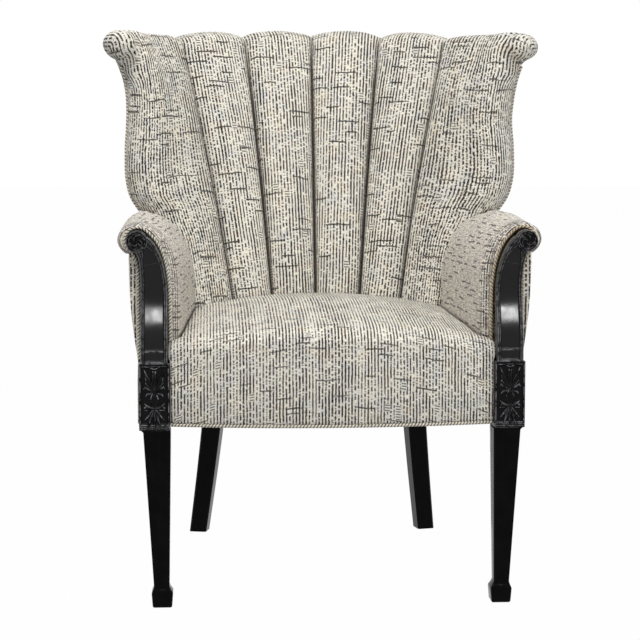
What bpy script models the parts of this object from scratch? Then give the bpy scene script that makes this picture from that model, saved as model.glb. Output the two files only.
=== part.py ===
"""Channel-back wing chair with show-wood arm posts, a sprung seat and six stuffed back channels.

Metres, +Z up, floor at Z = 0. The chair faces -Y, and its left arm, seen from the front, is at -X.
Depths named below are measured backward from the front face of the front legs.
"""

import math

import bmesh
import bpy
from mathutils import Vector

# Position of the front face of the front legs, and the working clearance between pieces
FRONT_Y = -0.326
GAP = 0.0003

# Front legs: carved block, tapered shaft, spade foot
BLOCK_X = 0.290
BLOCK_WIDTH = 0.050
BLOCK_BOTTOM_Z = 0.295
BLOCK_HEIGHT = 0.109
BLOCK_TOP_Z = BLOCK_BOTTOM_Z + BLOCK_HEIGHT
BLOCK_SHOULDER = 0.004
LEG_TOP_WIDTH = 0.0445
LEG_TOP_INSET = 0.0036
ANKLE_WIDTH = 0.0256
ANKLE_INSET = 0.0090
ANKLE_Z = 0.035
FOOT_WIDTH = 0.0350
FOOT_INSET = 0.0100
FOOT_LEDGE_Z = 0.025
FOOT_BASE_WIDTH = 0.0315
LEG_CHAMFER = 0.0018

# Arm posts: show-wood facing, dished in side view, with an outward scroll
POST_X = BLOCK_X
POST_WIDTH = 0.0435
POST_BACK_DEPTH = 0.045
POST_DISH = 0.020
POST_DISH_LOW = 0.032
POST_DISH_LENGTH = 0.148
POST_BEAD = 0.0045
POST_PANEL_SINK = 0.0018
POST_EDGE = 0.0012
SCROLL_OUT = 0.026
SCROLL_X = POST_X + SCROLL_OUT
SCROLL_RISE = 0.197
SCROLL_Z = BLOCK_TOP_Z + SCROLL_RISE
SCROLL_RADIUS = 0.0178
ROSETTE_RADIUS = 0.0135
ROSETTE_PROUD = 0.0025
POST_PATH_RISE = (GAP / SCROLL_RISE, 0.1624, 0.2843, 0.4112, 0.5381, 0.6650, 0.7919, 0.8934, 0.9645, 1.0)
POST_PATH_Z = tuple(BLOCK_TOP_Z + SCROLL_RISE * rise for rise in POST_PATH_RISE)
POST_PATH_OUT = (0.0, 0.0, 0.0, 0.0, 0.0, 0.0005, 0.0030, 0.0080, 0.0155, 0.0225)
POST_PATH_HALF = (1.0, 1.0, 1.0, 1.0, 1.0, 0.96, 0.88, 0.78, 0.71, 0.58)

# Back legs running on into the back posts
BACK_FOOT_X = 0.222
BACK_FOOT_DEPTH = 0.605
BACK_SHIN_X = 0.203
BACK_SHIN_DEPTH = 0.553
BACK_SHIN_Z = 0.150
BACK_SHIN_STEPS = 6
BACK_KNEE_X = 0.187
BACK_KNEE_DEPTH = 0.508
BACK_FOOT_WIDTH = 0.033
BACK_KNEE_WIDTH = 0.038
BACK_POST_LINE = 2.0
BACK_POST_DROP = 0.030
BACK_FRAME_THICK = 0.028
BACK_POST_WIDTH = BACK_FRAME_THICK
BACK_TURN = math.radians(12.8)
BACK_CHAMFER = 0.003

# Seat rails
RAIL_RISE = 0.005
RAIL_BOTTOM_Z = BLOCK_BOTTOM_Z + RAIL_RISE
BACK_KNEE_Z = RAIL_BOTTOM_Z
RAIL_HEIGHT = 0.065
FRONT_RAIL_THICK = 0.028
SIDE_RAIL_THICK = 0.026
SIDE_RAIL_FRONT_SET = 0.010
SIDE_RAIL_FRONT_X = BLOCK_X + SIDE_RAIL_FRONT_SET
SIDE_RAIL_BACK_SET = 0.008
SIDE_RAIL_BACK_X = BACK_KNEE_X + SIDE_RAIL_BACK_SET
BACK_RAIL_THICK = 0.026
TENON_THICK = 0.010
TENON_HEIGHT = 0.040
TENON_LENGTH = 0.020
POST_TENON_SIDE = 0.018
POST_TENON_LENGTH = 0.022
CORNER_BLOCK_HEIGHT = 0.036
CORNER_BLOCK_REACH = 0.085

# Seat: bowed front, crown, edge heights
SEAT_FRONT_DEPTH = 0.014
SEAT_BOW = 0.030
SEAT_STATIONS = 15
SEAT_RUN_STEPS = 9
SEAT_RUN_POWER = 1.6
SEAT_CROWN_POWER = 0.8
SEAT_SKIRT_THICK = 0.010
SEAT_SKIRT_RISE = 0.005
SEAT_SKIRT_BOTTOM_Z = RAIL_BOTTOM_Z + SEAT_SKIRT_RISE
SEAT_SKIRT_SWELL = 0.004
SEAT_PAD_RISE = 0.0128
SEAT_PAD_BOTTOM_Z = BLOCK_TOP_Z + SEAT_PAD_RISE
SEAT_EDGE_FRONT = 0.0192
SEAT_EDGE_BACK = 0.0432
SEAT_EDGE_FRONT_Z = SEAT_PAD_BOTTOM_Z + SEAT_EDGE_FRONT
SEAT_EDGE_BACK_Z = SEAT_PAD_BOTTOM_Z + SEAT_EDGE_BACK
SEAT_CROWN_FRONT = 0.024
SEAT_CROWN_MIDDLE = 0.040
SEAT_CROWN_BACK = 0.020
SEAT_ROLL = 0.050
SEAT_ROLL_SHARE = 0.45
SEAT_BACK_CLEAR = 0.002
SEAT_SIDE_CLEAR = 0.0010
HESSIAN_THICK = 0.0015
HESSIAN_INSET = 0.012
WEBBING_THICK = 0.0022
WEBBING_WIDTH = 0.050
DUST_COVER_THICK = 0.0015
DUST_COVER_FRONT_CLEAR = 0.0015
DUST_COVER_BACK_CLEAR = 0.030
DUST_COVER_INSET = 0.006

# Hourglass springs, three by three
SPRING_SPACING_X = 0.140
SPRING_FIRST_DEPTH = 0.140
SPRING_SPACING_Y = 0.120
SPRING_ROWS = 3
SPRING_WIRE = 0.0032
SPRING_END_RADIUS = 0.0425
SPRING_WAIST_RADIUS = 0.0275
SPRING_TURNS = 4
SPRING_TURN_POINTS = 9

# Arms
ARM_PAD_RISE = 0.001
ARM_PAD_BOTTOM_Z = BLOCK_TOP_Z + ARM_PAD_RISE
ARM_INNER_THICK = 0.036
ARM_UNDER_DROP = 0.021
ARM_UNDER_Z = SCROLL_Z - ARM_UNDER_DROP
ARM_ROLL_Z = SCROLL_Z
ARM_ROLL_DROP = 0.028
ARM_ROLL_END_CLEAR = 0.058
ARM_LIP_ANGLE = math.radians(-55)
ARM_STATIONS = (0.0, 0.5, 1.0)
ARM_INSIDE_SET = (-0.026, -0.046, -0.058)
ARM_CENTRE_SET = (0.026, 0.022, 0.020)
ARM_OUTSIDE_SET = (0.056, 0.058, 0.052)
ARM_INSIDE_X = tuple(POST_X + out for out in ARM_INSIDE_SET)
ARM_CENTRE_X = tuple(POST_X + out for out in ARM_CENTRE_SET)
ARM_OUTSIDE_X = tuple(POST_X + out for out in ARM_OUTSIDE_SET)
ARM_TOP_RISE = (0.028, 0.039, 0.031)
ARM_SHOULDER_DROP = (0.071, 0.076, 0.101)
ARM_RAIL_WIDTH = 0.020
ARM_RAIL_HEIGHT = 0.024
ARM_RAIL_DROP = 0.018
ARM_RAIL_Z = SCROLL_Z - ARM_RAIL_DROP
ARM_RAIL_SET = 0.002
ARM_RAIL_X = SCROLL_X - ARM_RAIL_SET
ARM_RAIL_BEND_LEAD = 0.038
ARM_RAIL_BEND_LINE = 2.70
ARM_RAIL_BEND_BEHIND = 0.016
ARM_RAIL_TENON = 0.014
ARM_TENON_SET = 0.0055
ARM_TENON_X = ARM_RAIL_X - ARM_TENON_SET
ARM_TENON_THICK = 0.008
OUTSIDE_ARM_THICK = 0.003
OUTSIDE_ARM_BOTTOM_Z = RAIL_BOTTOM_Z + GAP
OUTSIDE_ARM_TOP_DROP = 0.0015
OUTSIDE_ARM_TOP_Z = ARM_RAIL_Z - ARM_RAIL_HEIGHT / 2 - OUTSIDE_ARM_TOP_DROP
OUTSIDE_ARM_REAR_TOP = 0.0285
OUTSIDE_ARM_REAR_WAIST = 0.0255
OUTSIDE_ARM_TOP_X = (0.3310, 0.3360, 0.3330, 0.3070, 0.2570, BACK_KNEE_X + OUTSIDE_ARM_REAR_TOP)
OUTSIDE_ARM_WAIST_X = (0.3175, 0.2990, 0.2765, 0.2590, 0.2370, BACK_KNEE_X + OUTSIDE_ARM_REAR_WAIST)
OUTSIDE_ARM_WAIST_Z = ARM_PAD_BOTTOM_Z
OUTSIDE_ARM_RUN = (0.0000, 0.3298, 0.6926, 0.8420, 0.9381, 1.0000)
OUTSIDE_ARM_REACH = 0.006
OUTSIDE_ARM_DEPTH = tuple(
    POST_BACK_DEPTH + GAP + (BACK_KNEE_DEPTH + OUTSIDE_ARM_REACH - POST_BACK_DEPTH) * run
    for run in OUTSIDE_ARM_RUN
)
OUTSIDE_ARM_SWELL = 0.004

# Back: seam lines by height, half widths, and set of the padding's front at the seams from the knee
BACK_BASE_DROP = 0.044
BACK_BASE_Z = BLOCK_TOP_Z - BACK_BASE_DROP
CREST_Z = 0.945
SEAM_RISE = (0.0000, 0.1880, 0.4786, 0.7521, 1.0000)
SEAM_Z = tuple(BACK_BASE_Z + (CREST_Z - BACK_BASE_Z) * rise for rise in SEAM_RISE)
INNER_SEAM_X = (0.073, 0.0825, 0.097, 0.1135, 0.132)
OUTER_SEAM_X = (0.141, 0.158, 0.186, 0.2205, 0.260)
CENTRE_SEAM_SET = (-0.038, -0.023, 0.022, 0.067, 0.104)
INNER_SEAM_SET = (-0.047, -0.033, 0.012, 0.053, 0.087)
OUTER_SEAM_SET = (-0.076, -0.061, -0.018, 0.009, 0.033)
WING_RISE = (0.0000, 0.1880, 0.3419, 0.4786, 0.5812, 0.6667, 0.7521, 0.8376, 0.9060, 1.0000)
WING_Z = tuple(BACK_BASE_Z + (CREST_Z - BACK_BASE_Z) * rise for rise in WING_RISE)
WING_LINE_X = (0.262, 0.270, 0.283, 0.299, 0.316, 0.316, 0.312, 0.313, 0.319, 0.342)
WING_LINE_SET = (-0.12, -0.12, -0.12, -0.12, -0.118, -0.114, -0.109, -0.104, -0.1, -0.094)
SEAM_PAD = 0.020
CROWN = (0.020, 0.024, 0.028, 0.027, 0.015)
CROWN_POWER = 0.6
WING_CROWN_SHARE = 0.70
WING_EDGE_SHARE = 0.55
WING_PAD_END = 2.87
CHANNEL_BOTTOM_Z = ARM_PAD_BOTTOM_Z
CHANNEL_LEVELS = 9
CHANNEL_POINTS = 9
CHANNEL_REAR = (8, 6, 4, 2, 0)
ROLL_STEPS = 6
ROLL_END = math.radians(160)
ROLL_THIN_FROM = math.radians(60)
ROLL_END_PAD = 0.010
CREST_SET = 0.0015
CREST_HALF = BACK_FRAME_THICK / 2 - CREST_SET
CREST_DROP = 0.045
BACK_HESSIAN_ROOM = 0.0010
LOWER_RAIL_RISE = 0.066
LOWER_RAIL_HEIGHT = 0.040
LOWER_RAIL_BOTTOM_Z = BLOCK_TOP_Z + LOWER_RAIL_RISE
LOWER_RAIL_TOP_Z = LOWER_RAIL_BOTTOM_Z + LOWER_RAIL_HEIGHT
LOWER_RAIL_THICK = 0.022
LOWER_RAIL_END = 2.05
WING_POST_LINE = 2.70
WING_POST_EASE = 0.001
WING_POST_WIDTH = BACK_FRAME_THICK - WING_POST_EASE
WING_POST_FOOT = 0.002
WING_POST_BOTTOM_Z = ARM_RAIL_Z + WING_POST_FOOT
WING_POST_DROP = 0.037
OUTSIDE_BACK_THICK = 0.003
OUTSIDE_ROOM = 0.0006
OUTSIDE_BACK_LINE = 2.05
OUTSIDE_BACK_DROP = 0.015
OUTSIDE_BACK_SIDE = 0.019
OUTSIDE_BACK_BOTTOM_X = BACK_KNEE_X + OUTSIDE_BACK_SIDE
OUTSIDE_BACK_SET = 0.0235
OUTSIDE_BACK_PLUMB_Z = ARM_PAD_BOTTOM_Z
OUTSIDE_BACK_BLEND_Z = SCROLL_Z
OUTSIDE_WING_INNER = 2.057
OUTSIDE_WING_OUTER = 2.84
OUTSIDE_WING_FOOT = 0.005
OUTSIDE_WING_BOTTOM_Z = ARM_RAIL_Z + OUTSIDE_WING_FOOT

# Wing rolls and their lobes
ROLL_HALF = 0.016
ROLL_DEEP = 0.032
ROLL_SET = 0.020
ROLL_FOOT = 0.027
ROLL_BOTTOM_Z = SCROLL_Z + ROLL_FOOT
ROLL_BOTTOM_SHARE = 0.60
ROLL_SWELL = 0.037
ROLL_FULL_Z = ROLL_BOTTOM_Z + ROLL_SWELL
LOBE_DROP = 0.001
LOBE_RISE = 0.044
LOBE_Z = CREST_Z - LOBE_DROP
LOBE_FROM_Z = LOBE_Z - LOBE_RISE
LOBE_HALF = 0.028
LOBE_DEEP = 0.036
LOBE_STEPS = (-1.2, -0.93, -0.68, -0.36, 0.0, 0.36, 0.64, 0.86, 0.995)
ROLL_LEVELS = 10
ROLL_SIDES = 14

# Welts
SEAT_WELT_RADIUS = 0.0030
ARM_WELT_RADIUS = 0.0025
WELT_HEAD_START = math.radians(130)
WELT_HEAD_END = math.radians(-72)
WING_WELT_RADIUS = 0.0022
WING_WELT_FOOT = 0.003
WING_WELT_BOTTOM_Z = ROLL_FULL_Z + WING_WELT_FOOT
WING_WELT_DROP = 0.002
WELT_SIDES = 6

SIDES = ("left", "right")

for stale in list(bpy.data.objects):
    bpy.data.objects.remove(stale, do_unlink=True)

parts = bpy.data.collections.new("channel_back_wing_chair")
cutters = bpy.data.collections.new("cutters")
bpy.context.scene.collection.children.link(parts)
bpy.context.scene.collection.children.link(cutters)

FINISHES = {
    "show_wood": ((0.012, 0.011, 0.012, 1.0), 0.32, 0.0),
    "frame_wood": ((0.50, 0.34, 0.19, 1.0), 0.65, 0.0),
    "cover_fabric": ((0.63, 0.59, 0.50, 1.0), 0.85, 0.0),
    "welt_cord": ((0.52, 0.47, 0.39, 1.0), 0.85, 0.0),
    "spring_steel": ((0.40, 0.40, 0.41, 1.0), 0.35, 1.0),
    "webbing": ((0.47, 0.38, 0.25, 1.0), 0.90, 0.0),
    "hessian": ((0.53, 0.43, 0.28, 1.0), 0.90, 0.0),
    "dust_cloth": ((0.03, 0.03, 0.03, 1.0), 0.90, 0.0),
}


def sign(label):
    """Direction of a side along X."""
    return -1.0 if label == "left" else 1.0


def back(depth):
    """World Y of a depth measured from the front face of the front legs."""
    return FRONT_Y + depth


def hermite(stations, values, at):
    """Smooth curve through the values at the stations, held level past both ends."""
    at = min(max(at, stations[0]), stations[-1])
    low = 0
    while low < len(stations) - 2 and at > stations[low + 1]:
        low += 1

    def slope(i):
        before = max(i - 1, 0)
        after = min(i + 1, len(stations) - 1)
        return (values[after] - values[before]) / (stations[after] - stations[before])

    span = stations[low + 1] - stations[low]
    t = (at - stations[low]) / span
    rise = t * t * (3 - 2 * t)
    lead = t * (1 - t) ** 2 * span * slope(low)
    trail = t * t * (t - 1) * span * slope(low + 1)
    return values[low] + (values[low + 1] - values[low]) * rise + lead + trail


def smooth(value):
    """Eases 0..1, level at both ends."""
    value = min(max(value, 0.0), 1.0)
    return value * value * (3 - 2 * value)


def mix(low, high, share):
    return low + (high - low) * share


def seam_point(line, z):
    """Front of the padding at a seam line: 0 the middle seam, 1 and 2 the others, 3 the wing line."""
    reach = abs(line)
    inner_x = hermite(SEAM_Z, INNER_SEAM_X, z)
    outer_x = hermite(SEAM_Z, OUTER_SEAM_X, z)
    wing_x = hermite(WING_Z, WING_LINE_X, z)
    inner_d = hermite(SEAM_Z, INNER_SEAM_SET, z)
    outer_d = hermite(SEAM_Z, OUTER_SEAM_SET, z)
    wing_d = hermite(WING_Z, WING_LINE_SET, z)
    centre_d = hermite(SEAM_Z, CENTRE_SEAM_SET, z)
    lines = (-1.0, 0.0, 1.0, 2.0, 3.0)
    x = hermite(lines, (-inner_x, 0.0, inner_x, outer_x, wing_x), reach)
    depth = hermite(lines, (inner_d, centre_d, inner_d, outer_d, wing_d), reach)
    return Vector((math.copysign(x, line), back(BACK_KNEE_DEPTH + depth), z))


def back_axes(line, z):
    """Directions across, up and backward through the back at a point of it."""
    step = 0.01
    side = 1.0 if line >= 0 else -1.0
    reach = min(abs(line), 3.0 - step) * side
    across = (seam_point(reach + step, z) - seam_point(reach - step, z)).normalized()
    low = max(z - step, SEAM_Z[0])
    high = min(z + step, SEAM_Z[-1])
    up = (seam_point(reach, high) - seam_point(reach, low)).normalized()
    rear = up.cross(across).normalized()
    return across, up, rear


def back_point(line, z, depth):
    """A point the given distance behind the front of the padding at the seams."""
    rear = back_axes(line, z)[2]
    return seam_point(line, z) + rear * depth


def frame_near():
    """Distance from the padding's seam front to the wooden frame of the back."""
    return SEAM_PAD + HESSIAN_THICK + 2 * BACK_HESSIAN_ROOM


def crest_radius():
    return CREST_HALF + frame_near() - SEAM_PAD


def crest_point(line, angle, radius):
    """A point round the axis of the crest rail: angle 0 faces the sitter, a quarter turn is the top."""
    rear, up = back_axes(line, CREST_Z)[2], back_axes(line, CREST_Z)[1]
    axis = seam_point(line, CREST_Z) + rear * (SEAM_PAD + crest_radius())
    return axis + (up * math.sin(angle) - rear * math.cos(angle)) * radius


def line_at_x(x, z):
    """Seam line whose point at this height has this half width."""
    low, high = 0.0, 3.0
    for _ in range(40):
        middle = (low + high) / 2
        if seam_point(middle, z).x < x:
            low = middle
        else:
            high = middle
    return low


def finish(name):
    """Material of the given finish, made once."""
    found = bpy.data.materials.get(name)
    if found:
        return found
    colour, roughness, metallic = FINISHES[name]
    made = bpy.data.materials.new(name)
    made.use_nodes = True
    shader = made.node_tree.nodes["Principled BSDF"]
    shader.inputs["Base Color"].default_value = colour
    shader.inputs["Roughness"].default_value = roughness
    shader.inputs["Metallic"].default_value = metallic
    made.diffuse_color = colour
    return made


def add_mesh(name, bm, look=None):
    """Object from the mesh: a part with its finish, or a cutter when it has none."""
    bmesh.ops.recalc_face_normals(bm, faces=bm.faces)
    mesh = bpy.data.meshes.new(name)
    bm.to_mesh(mesh)
    bm.free()
    made = bpy.data.objects.new(name, mesh)
    if look:
        mesh.materials.append(finish(look))
        parts.objects.link(made)
    else:
        made.hide_render = True
        made.display_type = "WIRE"
        cutters.objects.link(made)
    return made


def loft_mesh(rings, strip=False):
    """Closed skin through rings of equal count, capped at both ends.

    A strip is a ring that runs out along one face and back along the other; its caps follow it."""
    bm = bmesh.new()
    rows = [[bm.verts.new(point) for point in ring] for ring in rings]
    count = len(rows[0])
    for low, high in zip(rows, rows[1:]):
        for i in range(count):
            j = (i + 1) % count
            bm.faces.new((low[i], low[j], high[j], high[i]))
    for row in (rows[0], rows[-1]):
        if not strip:
            bm.faces.new(row)
            continue
        for i in range(count // 2 - 1):
            bm.faces.new((row[i], row[i + 1], row[count - 2 - i], row[count - 1 - i]))
    bmesh.ops.triangulate(bm, faces=bm.faces)
    return bm


def loft(name, rings, look=None, strip=False):
    return add_mesh(name, loft_mesh(rings, strip), look)


def box_mesh(centre, size, turn=0.0):
    """Box about a centre, turned about the vertical."""
    bm = bmesh.new()
    bmesh.ops.create_cube(bm, size=1.0)
    for vert in bm.verts:
        x, y, z = vert.co.x * size[0], vert.co.y * size[1], vert.co.z * size[2]
        vert.co.x = centre[0] + x * math.cos(turn) - y * math.sin(turn)
        vert.co.y = centre[1] + x * math.sin(turn) + y * math.cos(turn)
        vert.co.z = centre[2] + z
    return bm


def box(name, centre, size, turn=0.0, look=None):
    return add_mesh(name, box_mesh(centre, size, turn), look)


def grown(piece, by=GAP):
    """Cutter shaped as the piece's bare form, larger by the clearance on every side."""
    name = piece.name + "_room"
    found = bpy.data.objects.get(name)
    if found:
        return found
    bm = bmesh.new()
    bm.from_mesh(piece.data)
    bm.normal_update()
    moves = [(vert, vert.normal * by * vert.calc_shell_factor()) for vert in bm.verts]
    for vert, move in moves:
        vert.co += move
    return add_mesh(name, bm)


def combine(piece, tool, kind):
    """Joins the tool to the piece, or takes it away."""
    step = piece.modifiers.new(tool.name, "BOOLEAN")
    step.operation = kind
    step.solver = "EXACT"
    step.object = tool
    return piece


def cut(piece, *tools):
    for tool in tools:
        combine(piece, tool, "DIFFERENCE")
    return piece


def square_ring(x, y, z, width, chamfer, turn=0.0):
    """Square section with cut corners, level, turned about the vertical."""
    half = width / 2
    inner = half - chamfer
    flat = (
        (inner, half), (-inner, half), (-half, inner), (-half, -inner),
        (-inner, -half), (inner, -half), (half, -inner), (half, inner),
    )
    c, s = math.cos(turn), math.sin(turn)
    return [Vector((x + a * c - b * s, y + a * s + b * c, z)) for a, b in flat]


def tube(name, points, radius, sides, look):
    """Round cord along a path, its ends cut square."""
    rings = []
    last = None
    for i, point in enumerate(points):
        ahead = points[min(i + 1, len(points) - 1)] - points[max(i - 1, 0)]
        ahead.normalize()
        if last is None:
            start = Vector((0, 1, 0)) if abs(ahead.y) < 0.9 else Vector((1, 0, 0))
            last = (start - ahead * start.dot(ahead)).normalized()
        else:
            last = (last - ahead * last.dot(ahead)).normalized()
        other = ahead.cross(last)
        turns = [2 * math.pi * k / sides for k in range(sides)]
        rings.append([point + (last * math.cos(t) + other * math.sin(t)) * radius for t in turns])
    return loft(name, rings, look)


def tenon(name, centre, size, turn=0.0):
    """Tenon to join to a rail, and the mortise to take from its partner."""
    room = tuple(value + 2 * GAP for value in size)
    return box(name, centre, size, turn), box(name + "_mortise", centre, room, turn)


def front_leg(name, side):
    """Square leg: spade foot, taper on the outer side, block at seat height."""
    levels = (
        (0.0, FOOT_BASE_WIDTH, FOOT_INSET),
        (FOOT_LEDGE_Z, FOOT_WIDTH, FOOT_INSET),
        (ANKLE_Z, ANKLE_WIDTH, ANKLE_INSET),
        (BLOCK_BOTTOM_Z - BLOCK_SHOULDER, LEG_TOP_WIDTH, LEG_TOP_INSET),
        (BLOCK_BOTTOM_Z, BLOCK_WIDTH, 0.0),
        (BLOCK_TOP_Z, BLOCK_WIDTH, 0.0),
    )
    depth = BLOCK_WIDTH / 2
    rings = [
        square_ring(side * (BLOCK_X - inset), back(depth), z, width, LEG_CHAMFER)
        for z, width, inset in levels
    ]
    return loft(name, rings, "show_wood")


def post_front(z):
    """Depth of the arm post's face: dished between the block and the scroll."""
    share = (z - BLOCK_TOP_Z - POST_DISH_LOW) / POST_DISH_LENGTH
    if share <= 0 or share >= 1:
        return 0.0
    return POST_DISH * math.sin(math.pi * share ** 1.25) ** 1.5


def post_stations():
    """Centre, half width and level direction of the arm post's sections, on the right side."""
    centres = [Vector((POST_X + out, 0.0, z)) for z, out in zip(POST_PATH_Z, POST_PATH_OUT)]
    found = []
    for i, centre in enumerate(centres):
        ahead = centres[min(i + 1, len(centres) - 1)] - centres[max(i - 1, 0)]
        ahead.normalize()
        level = Vector((ahead.z, 0.0, -ahead.x))
        found.append((centre, POST_PATH_HALF[i] * POST_WIDTH / 2, level))
    return found


def arm_post(name, side):
    """Show-wood facing with beaded edges, a sunk panel and a scroll with a rosette boss."""
    rings = []
    for centre, half, level in post_stations():
        face = post_front(centre.z)
        across = (
            (-half, face + POST_EDGE), (-half + POST_EDGE, face),
            (-half + POST_BEAD - POST_EDGE, face), (-half + POST_BEAD, face + POST_PANEL_SINK),
            (half - POST_BEAD, face + POST_PANEL_SINK), (half - POST_BEAD + POST_EDGE, face),
            (half - POST_EDGE, face), (half, face + POST_EDGE),
            (half, POST_BACK_DEPTH), (-half, POST_BACK_DEPTH),
        )
        ring = []
        for along, depth in across:
            at = centre + level * along
            ring.append(Vector((side * at.x, back(depth), at.z)))
        rings.append(ring)
    made = loft(name, rings, "show_wood")
    scroll = disc(name + "_scroll", side, SCROLL_RADIUS, -POST_EDGE, POST_BACK_DEPTH - POST_EDGE, 28)
    rosette = disc(name + "_rosette", side, ROSETTE_RADIUS, -POST_EDGE - ROSETTE_PROUD, POST_BEAD, 20)
    combine(made, scroll, "UNION")
    combine(made, rosette, "UNION")
    return made


def disc(name, side, radius, front, rear, sides):
    """Short cylinder about the scroll's axis, level, front to back."""
    rings = []
    for depth in (front, rear):
        turns = [2 * math.pi * k / sides for k in range(sides)]
        rings.append([
            Vector((side * SCROLL_X + radius * math.cos(t), back(depth), SCROLL_Z + radius * math.sin(t)))
            for t in turns
        ])
    return loft(name, rings)


def back_post_stations():
    """Heights, half widths and depths of the back leg and post, right side."""
    frame_depth = frame_near() + GAP + BACK_FRAME_THICK / 2
    zs = [0.0, BACK_SHIN_Z, BACK_KNEE_Z, BACK_KNEE_Z + RAIL_HEIGHT]
    xs = [BACK_FOOT_X, BACK_SHIN_X, BACK_KNEE_X, BACK_KNEE_X]
    ys = [back(BACK_FOOT_DEPTH), back(BACK_SHIN_DEPTH), back(BACK_KNEE_DEPTH), back(BACK_KNEE_DEPTH)]
    turns = [BACK_TURN] * len(zs)
    for z in channel_levels()[1:-1] + [CREST_Z - BACK_POST_DROP]:
        at = back_point(BACK_POST_LINE, z, frame_depth)
        rear = back_axes(BACK_POST_LINE, z)[2]
        zs.append(at.z)
        xs.append(at.x)
        ys.append(at.y)
        turns.append(-math.atan2(rear.x, rear.y))
    return zs, xs, ys, turns


def back_post(name, side):
    """Raked, splayed back leg going on upward as the post of the back."""
    zs, xs, ys, turns = back_post_stations()
    shin_width = mix(BACK_FOOT_WIDTH, BACK_KNEE_WIDTH, 0.5)
    widths = [BACK_FOOT_WIDTH, shin_width, BACK_KNEE_WIDTH, BACK_KNEE_WIDTH]
    widths += [BACK_POST_WIDTH] * (len(zs) - len(widths))
    rings = []
    shin = even(0.0, BACK_KNEE_Z, BACK_SHIN_STEPS)
    for z in shin[:-1] + zs[2:]:
        width = hermite(zs, widths, z)
        turn = side * hermite(zs, turns, z)
        rings.append(square_ring(side * hermite(zs, xs, z), hermite(zs, ys, z), z, width, BACK_CHAMFER, turn))
    return loft(name, rings, "show_wood")


def seat_front(share):
    """Depth of the seat's front face across the chair, -1 to 1."""
    return SEAT_FRONT_DEPTH - SEAT_BOW * (1 - share * share)


def inner_block_x():
    return BLOCK_X - BLOCK_WIDTH / 2


def seat_half():
    """Half width of the seat's front."""
    return min(inner_block_x() - 2 * GAP, ARM_INSIDE_X[0] - SEAT_SIDE_CLEAR)


def seat_shares():
    """Stations across the seat, closer together at its sides."""
    return [math.sin(math.pi * (k / (SEAT_STATIONS - 1) - 0.5)) for k in range(SEAT_STATIONS)]


def front_rail(name):
    """Bowed rail between the leg blocks."""
    reach = inner_block_x() - GAP
    shares = seat_shares()
    stations = [(-reach, -1.0)] + [(share * seat_half(), share) for share in shares] + [(reach, 1.0)]
    rings = []
    for x, share in stations:
        face = seat_front(share) + SEAT_SKIRT_THICK + GAP
        rear = face + FRONT_RAIL_THICK
        top = RAIL_BOTTOM_Z + RAIL_HEIGHT
        corners = ((face, RAIL_BOTTOM_Z), (rear, RAIL_BOTTOM_Z), (rear, top), (face, top))
        rings.append([Vector((x, back(depth), z)) for depth, z in corners])
    return loft(name, rings, "frame_wood")


def side_rail_line(side):
    """Ends of the side rail's middle line, and its turn about the vertical."""
    front = Vector((side * SIDE_RAIL_FRONT_X, back(BLOCK_WIDTH), 0.0))
    rear = Vector((side * SIDE_RAIL_BACK_X, back(BACK_KNEE_DEPTH), 0.0))
    turn = math.atan2(-(rear.x - front.x), rear.y - front.y)
    return front, rear, turn


def side_rail(name, side):
    front, rear, turn = side_rail_line(side)
    middle = (front + rear) / 2
    size = (SIDE_RAIL_THICK, (rear - front).length + TENON_THICK, RAIL_HEIGHT)
    centre = (middle.x, middle.y, RAIL_BOTTOM_Z + RAIL_HEIGHT / 2)
    return box(name, centre, size, turn, "frame_wood")


def back_rail(name):
    size = (2 * BACK_KNEE_X, BACK_RAIL_THICK, RAIL_HEIGHT)
    centre = (0.0, back(BACK_KNEE_DEPTH), RAIL_BOTTOM_Z + RAIL_HEIGHT / 2)
    return box(name, centre, size, 0.0, "frame_wood")


def corner_block(name, corner, across, along):
    """Three-sided glue block in a corner of the seat frame, running along both rails."""
    middle = RAIL_BOTTOM_Z + RAIL_HEIGHT / 2
    rings = []
    for z in (middle - CORNER_BLOCK_HEIGHT / 2, middle + CORNER_BLOCK_HEIGHT / 2):
        a = Vector((corner.x, corner.y, z))
        rings.append([a, a + across * CORNER_BLOCK_REACH, a + along * CORNER_BLOCK_REACH])
    return loft(name, rings, "frame_wood")


def arm_inside(depth):
    """Half width between the arms at seat height, by depth."""
    start = POST_BACK_DEPTH + GAP
    share = (depth - start) / (arm_end_depth(ARM_INSIDE_X[-1], SEAM_Z[1]) - start)
    return hermite(ARM_STATIONS, ARM_INSIDE_X, share)


def seat_back_depth(x):
    """Depth of the seat's back edge, clear of the channels."""
    z = SEAM_Z[1]
    line = line_at_x(min(abs(x), ARM_INSIDE_X[-1]), z)
    return seam_point(line, z).y - FRONT_Y - CROWN[1] - SEAT_BACK_CLEAR


def seat_top(share, run):
    """Height of the crowned seat: share across, run front to back."""
    edge = mix(SEAT_EDGE_FRONT_Z, SEAT_EDGE_BACK_Z, run)
    crown = hermite((0.0, 0.5, 1.0), (SEAT_CROWN_FRONT, SEAT_CROWN_MIDDLE, SEAT_CROWN_BACK), run)
    return edge + crown * (1 - share * share) ** SEAT_CROWN_POWER


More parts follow.
